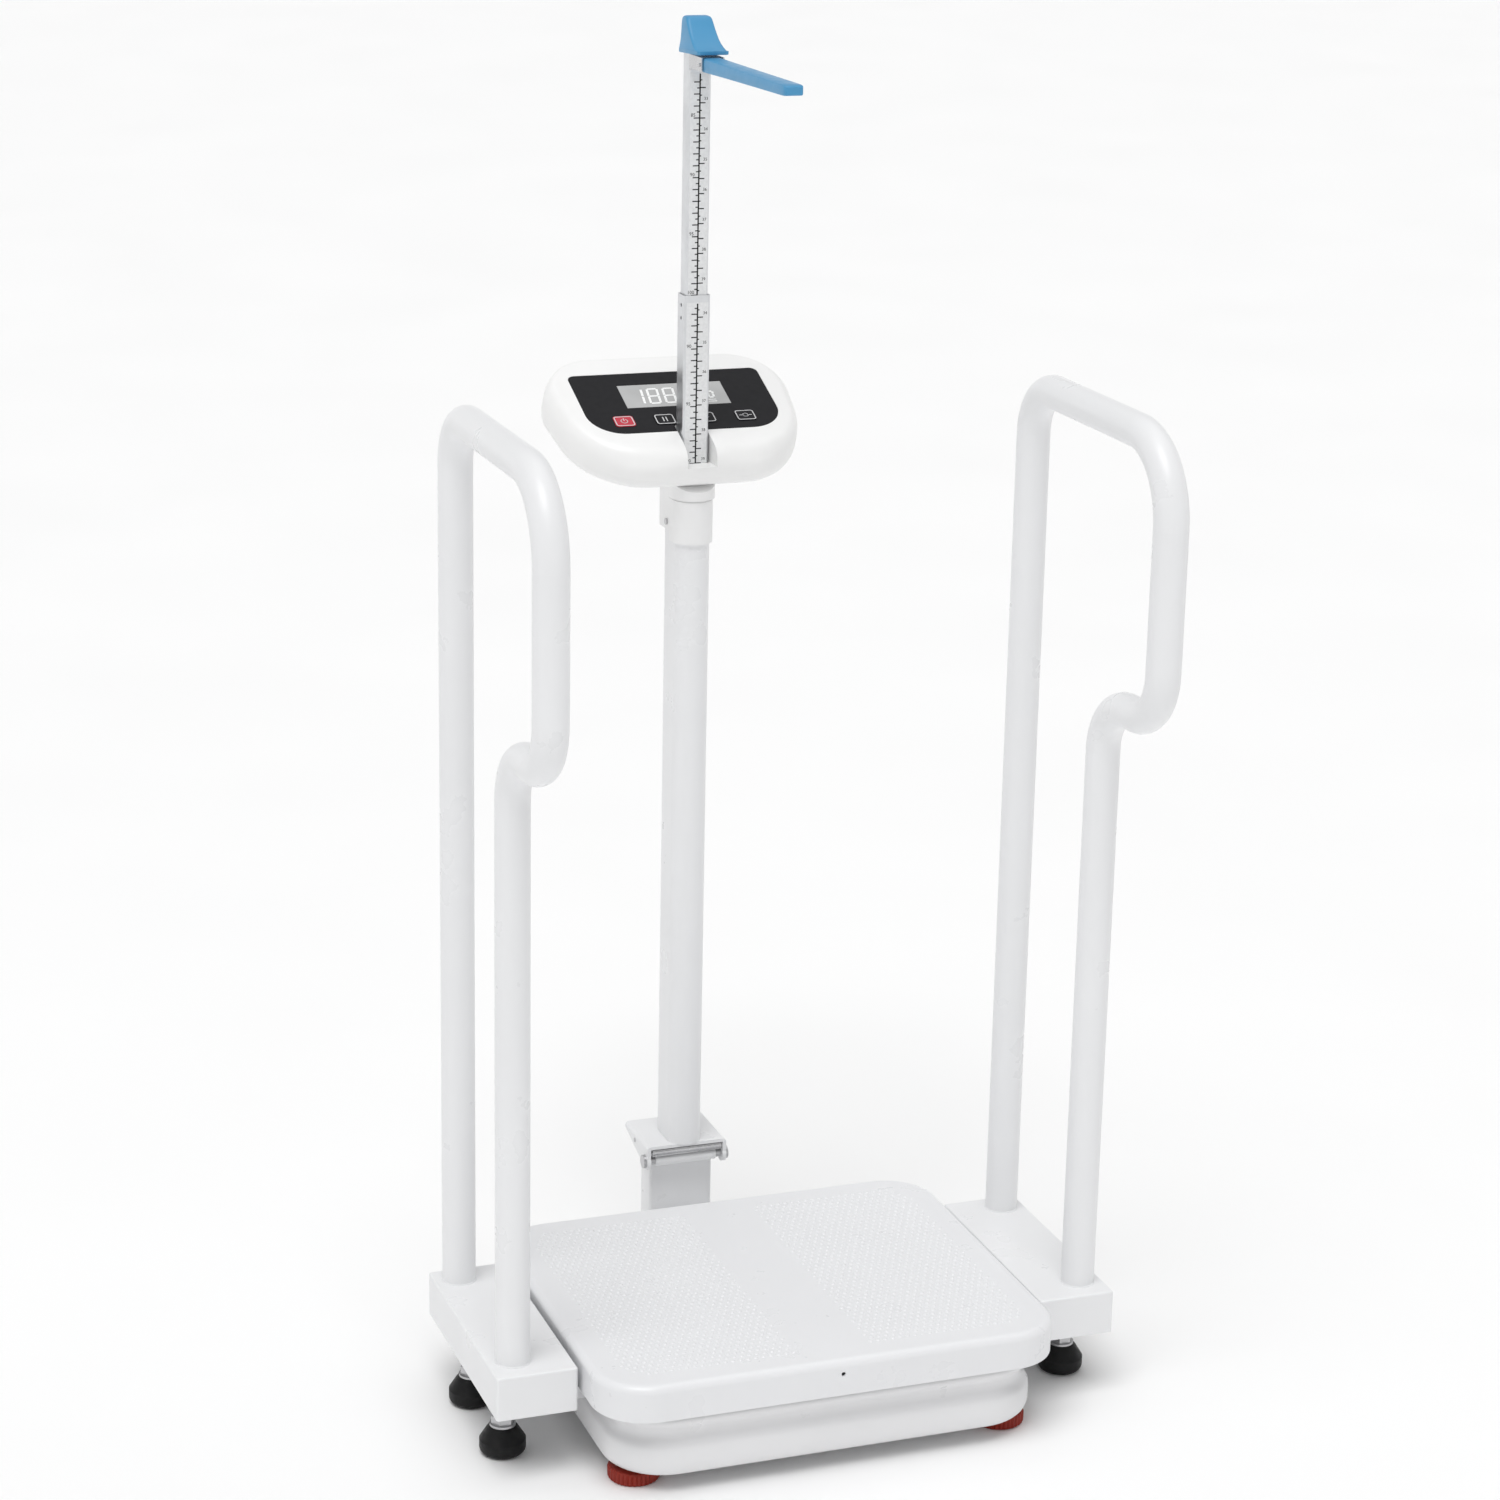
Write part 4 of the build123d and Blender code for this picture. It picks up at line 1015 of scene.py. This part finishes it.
def make_pedestal():
    """Pressed upright with round edges, two ears and the hinge barrel along its top."""
    low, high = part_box("pedestal")
    pin = centre("hinge_pin")
    back_y, front_y = high.y, high.y - UPRIGHT_DEPTH

    def tube(inset, z0, z1):
        middle = (front_y + back_y) / 2
        half_d = (back_y - front_y) / 2 - inset
        radius = UPRIGHT_CORNER - inset
        ring = corner_ring(high.x - inset, -half_d, half_d, radius, radius, 6)
        bm = bmesh.new()
        skin(bm, [[(x, middle + y, z) for x, y in ring] for z in (z0, z1)])
        return bm

    def barrel(radius, half):
        narrow, chamfer = radius * 0.90, 0.6 * MM
        return temporary(bar_along_x(pin.y, pin.z, (
            (-half, narrow), (-half + chamfer, radius), (half - chamfer, radius), (half, narrow)
        ), 40), "part")

    additions = [barrel(BARREL_R, BARREL_HALF)]
    bm = bmesh.new()
    round_box(
        bm, (-BARREL_HALF, pin.y, pin.z - 3.6 * MM),
        (BARREL_HALF, front_y + 2 * MM, pin.z + 4 * MM), 0.5 * MM
    )
    additions.append(temporary(bm, "addition"))
    for side in (-1, 1):
        x0, x1 = sorted((side * 27 * MM, side * 30 * MM))
        bm = bmesh.new()
        round_box(
            bm, (x0, front_y + 4 * MM, UPRIGHT_TOP - 10 * MM),
            (x1, front_y + 15 * MM, high.z), 0.6 * MM
        )
        additions.append(temporary(bm, "addition"))
    inside = tube(UPRIGHT_WALL, low.z - 5 * MM, UPRIGHT_TOP + 5 * MM)
    cutters = [temporary(inside, "cutter"), barrel(HINGE_HOLE_R, 44 * MM)]
    mesh = mesh_from(tube(0.0, low.z, UPRIGHT_TOP), "pedestal_shape")
    # the upright is hollowed first, so that the barrel's web is not cut by it
    hollowed = carve(mesh, cutters[:1])
    add_piece(
        "pedestal_shape", carve(hollowed, cutters[1:], additions), "base", "frame_paint",
        sharp=40, replaces=("pedestal",),
    )


LATCH_HALF = 33.2 * MM
LATCH_PROFILE = (           # mm behind the saddle's front and mm below the plate's top
    (34.0, 0.0), (2.6, 0.0), (1.4, 0.25), (0.7, 1.1), (0.35, 2.4), (0.3, 3.7), (0.5, 5.0),
    (0.95, 6.1), (1.6, 6.6), (2.1, 6.5), (1.5, 5.4), (1.25, 4.2), (1.2, 3.0), (1.5, 2.0),
    (2.2, 1.5), (34.0, 1.4),
)
LATCH_EYE_HALF = 24 * MM
LATCH_EYE_R = 3.4 * MM
LATCH_HOLE_R = 2.06 * MM


def make_latch():
    """Plate under the saddle with a rolled lip at the front and an eye round its pin."""
    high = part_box("latch_plate")[1]
    pin = centre("latch_pin")
    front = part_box("hinge_saddle")[0].y
    bm = bmesh.new()
    skin(bm, [
        [(x, front + depth * MM, high.z - drop * MM) for depth, drop in LATCH_PROFILE]
        for x in (-LATCH_HALF, -LATCH_HALF + 0.5 * MM, LATCH_HALF - 0.5 * MM, LATCH_HALF)
    ])
    mesh = mesh_from(bm, "latch_shape")

    def bar(radius, reach):
        stations = ((-reach, radius), (reach, radius))
        return temporary(bar_along_x(pin.y, pin.z, stations, 32), "part")

    cutters = [bar(LATCH_HOLE_R, 40 * MM)]
    for side in (-1, 1):
        x0, x1 = sorted((side * LATCH_EYE_HALF, side * 36 * MM))
        cutters.append(box_cutter(
            (x0, front + 9 * MM, pin.z - 8 * MM), (x1, pin.y + 8 * MM, pin.z + 8 * MM)
        ))
    eye = bar(LATCH_EYE_R, LATCH_EYE_HALF)
    add_piece(
        "latch_shape", carve(mesh, cutters, [eye]), "latch", "bright_steel",
        sharp=30, replaces=("latch_plate",),
    )


make_pedestal()
make_latch()

# ------------------------------------------------------------------ platform tread

TREAD_PITCH = 6.6 * MM
TREAD_R = 1.9 * MM
TREAD_HEIGHT = 0.85 * MM
TREAD_STRIP = 34.0 * MM
TREAD_MARGIN = 26.0 * MM
PLATE_CORNER = 52 * MM      # side of the square at each corner where the field is rounded off
CORNER_TREAD_R = 28 * MM    # radius of the field's own corners


def dome(bm, x, y, z):
    """A low round pimple standing in the sheet."""
    skin(bm, [
        [(x + dx, y + dy, z + rise * TREAD_HEIGHT) for dx, dy in circle(8, share * TREAD_R)]
        for share, rise in ((1.0, -0.5), (1.0, 0.0), (0.72, 0.62), (0.36, 0.94))
    ])


def make_tread():
    """Two fields of pimples with a plain strip between them."""
    low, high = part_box("platform_cover")
    bm = bmesh.new()
    middle_y = (low.y + high.y) / 2
    rows = int((high.y - low.y - 2 * TREAD_MARGIN) / TREAD_PITCH)
    y0 = middle_y - rows * TREAD_PITCH / 2
    columns = int((high.x - TREAD_MARGIN - TREAD_STRIP) / TREAD_PITCH)
    for row in range(rows + 1):
        shift = 0.5 * (row % 2)
        for side in (-1, 1):
            for column in range(columns + 1):
                x = side * (TREAD_STRIP + (column + shift) * TREAD_PITCH)
                y = y0 + row * TREAD_PITCH
                corner_x = max(abs(x) - (high.x - PLATE_CORNER), 0.0)
                corner_y = max(abs(y - middle_y) - (high.y - low.y) / 2 + PLATE_CORNER, 0.0)
                if math.hypot(corner_x, corner_y) < CORNER_TREAD_R:
                    dome(bm, x, y, high.z)
    add_piece("platform_tread", mesh_from(bm, "platform_tread"), "base", "platform_paint")


make_tread()

# ------------------------------------------------------------------ weld beads

BEAD_SIDES = 8
BEAD_WIDTH = 1.4 * MM
LEG_SPACING = 164 * MM      # between a handrail's two legs
WELD_SEED = 10


def bead(bm, outline, z, width, seed):
    """A weld bead round an outline of (point, outward normal) pairs, standing on height z."""
    chance = random.Random(seed)
    rings = []
    for index, (point, normal) in enumerate(outline):
        swell = width * (1 + 0.10 * math.sin(index * 2.1) + 0.05 * chance.uniform(-1, 1))
        ring = []
        for i in range(BEAD_SIDES):
            angle = math.tau * i / BEAD_SIDES
            out = -0.25 * width + swell * 0.85 * math.cos(angle)
            rise = swell * 0.85 * math.sin(angle)
            ring.append(point + normal * out + Vector((0, 0, rise)))
        rings.append([Vector((p.x, p.y, p.z + z)) for p in ring])
    skin(bm, rings, closed=True)


def circle_outline(x, y, radius, count):
    """Points and normals round a circle."""
    outline = []
    for i in range(count):
        angle = math.tau * i / count
        normal = Vector((math.cos(angle), math.sin(angle), 0))
        outline.append((Vector((x, y, 0)) + normal * radius, normal))
    return outline


def make_rail_welds():
    """A bead where each handrail leg stands on its base."""
    for name, side in (("left", -1), ("right", 1)):
        low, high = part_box(f"handrail_{name}")
        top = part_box(f"rail_base_{name}")[1].z
        radius = (high.x - low.x) / 2
        x = (low.x + high.x) / 2
        rear_y = high.y - radius
        front_y = rear_y - LEG_SPACING
        bm = bmesh.new()
        for index, y in enumerate((rear_y, front_y)):
            outline = circle_outline(x, y, radius, 72)
            bead(bm, outline, top, BEAD_WIDTH, WELD_SEED + index + side)
        add_piece(f"rail_weld_{name}", mesh_from(bm, f"rail_weld_{name}"), "base", "frame_paint")


make_rail_welds()

# ------------------------------------------------------------------ height rule

STRIP_THICKNESS = 0.12 * MM
INK_LIFT = 0.08 * MM
LINE_HALF = 0.62 * MM
CENTIMETRE = 0.010
INCH = 0.0254
HALF_INCH = 0.0127
TICK_HALF = 0.46 * MM
TICK_MARGIN = 2 * MM        # no tick this near to an end of the strip
TICK_LENGTHS = {"cm": 5.4 * MM, "half cm": 2.6 * MM, "half inch": 5.0 * MM, "quarter": 1.8 * MM}
RULE_START = 1.0            # what a rule says at the edge where it is read, as shown


def flat_box(bm, x0, x1, z0, z1, y_front, y_back):
    """A thin plate that faces the user."""
    round_box(bm, (x0, y_front, z0), (x1, y_back, z1))


def numeral(text, size, x, z, y):
    """Solid numerals that face the user, as a mesh centred at x, z."""
    curve = bpy.data.curves.new("numeral", "FONT")
    curve.body = text
    curve.size = size
    curve.align_x = "CENTER"
    curve.align_y = "CENTER"
    curve.extrude = 0.03 * MM
    curve.resolution_u = 2
    thing = bpy.data.objects.new("numeral", curve)
    bpy.context.scene.collection.objects.link(thing)
    bpy.context.view_layer.update()
    mesh = bpy.data.meshes.new_from_object(
        thing.evaluated_get(bpy.context.evaluated_depsgraph_get())
    )
    mesh.transform(Matrix.Translation((x, y, z)) @ Matrix.Rotation(math.pi / 2, 4, "X"))
    bpy.data.objects.remove(thing)
    bpy.data.curves.remove(curve)
    return mesh


def centimetre_ticks(bm, z_low, z_high, zero_z, y_front, y_back):
    """Long ticks at whole centimetres and short ones between, left of the line."""
    for i in range(int((z_high - z_low) / (CENTIMETRE / 2)) + 2):
        z = z_high - (z_high - zero_z) % CENTIMETRE - i * CENTIMETRE / 2
        if z_low + TICK_MARGIN < z < z_high - TICK_MARGIN:
            count = (zero_z - z) / CENTIMETRE
            length = TICK_LENGTHS["cm" if abs(count - round(count)) < 0.01 else "half cm"]
            flat_box(bm, -length, 0, z - TICK_HALF, z + TICK_HALF, y_front, y_back)


def inch_ticks(bm, z_low, z_high, steps, y_front, y_back):
    """Long ticks at half inches and short ones between, right of the line."""
    for i in range(2 * steps):
        z = z_high - i * HALF_INCH / 2
        if z_low + TICK_MARGIN < z < z_high - TICK_MARGIN:
            length = TICK_LENGTHS["half inch" if i % 2 == 0 else "quarter"]
            flat_box(bm, 0, length, z - TICK_HALF, z + TICK_HALF, y_front, y_back)


def make_rule(name, body, node, half, z_low, z_high, zero_z):
    """White strip with centimetres on the left, inches on the right and a line between them."""
    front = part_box(node)[0].y
    bm = bmesh.new()
    flat_box(bm, -half, half, z_low, z_high, front - STRIP_THICKNESS, front + 0.1 * MM)
    add_piece(f"{name}_strip", mesh_from(bm, f"{name}_strip"), body, "rod_aluminium", STRIP_WHITE)
    y_front = front - STRIP_THICKNESS - INK_LIFT
    y_back = front - 0.02 * MM
    y_print = y_front + 0.04 * MM
    bm = bmesh.new()
    flat_box(bm, -LINE_HALF, LINE_HALF, z_low + 1 * MM, z_high - 1 * MM, y_front, y_back)
    centimetre_ticks(bm, z_low, z_high, zero_z, y_front, y_back)
    steps = int((z_high - z_low) / HALF_INCH) + 2
    inch_ticks(bm, z_low, z_high, steps, y_front, y_back)
    first = int(math.ceil((zero_z - z_high) / CENTIMETRE))
    last = int((zero_z - z_low) / CENTIMETRE)
    for value in range(first, last + 1):
        z = zero_z - value * CENTIMETRE + 2.4 * MM
        if value % 5 == 0 and z < z_high - 4 * MM:
            bm.from_mesh(numeral(str(value), 4.2 * MM, -half + 2.6 * MM, z, y_print))
    for i in range(1, steps - 1):
        z = z_high - i * HALF_INCH + 3.4 * MM
        value = round((zero_z - z) / INCH * 2) / 2
        if z_low + 4 * MM < z < z_high - 3 * MM and value == int(value):
            bm.from_mesh(numeral(f"{value:g}", 3.6 * MM, half - 2.9 * MM, z, y_print))
    add_piece(f"{name}_marks", mesh_from(bm, f"{name}_marks"), body, "rod_aluminium", INK_BLACK)


OUTER_LOW, OUTER_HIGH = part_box("rod_outer")
make_rule(
    "inner_rule", "inner_rod", "rod_inner", 8.4 * MM,
    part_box("rod_inner")[0].z + 20 * MM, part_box("spring_clip")[0].z - 2 * MM,
    OUTER_HIGH.z + RULE_START,
)
make_rule(
    "outer_rule", "outer_rod", "rod_outer", 9.8 * MM,
    OUTER_LOW.z + 20 * MM, OUTER_HIGH.z - 6 * MM, NOTCH_FLOOR + RULE_START,
)
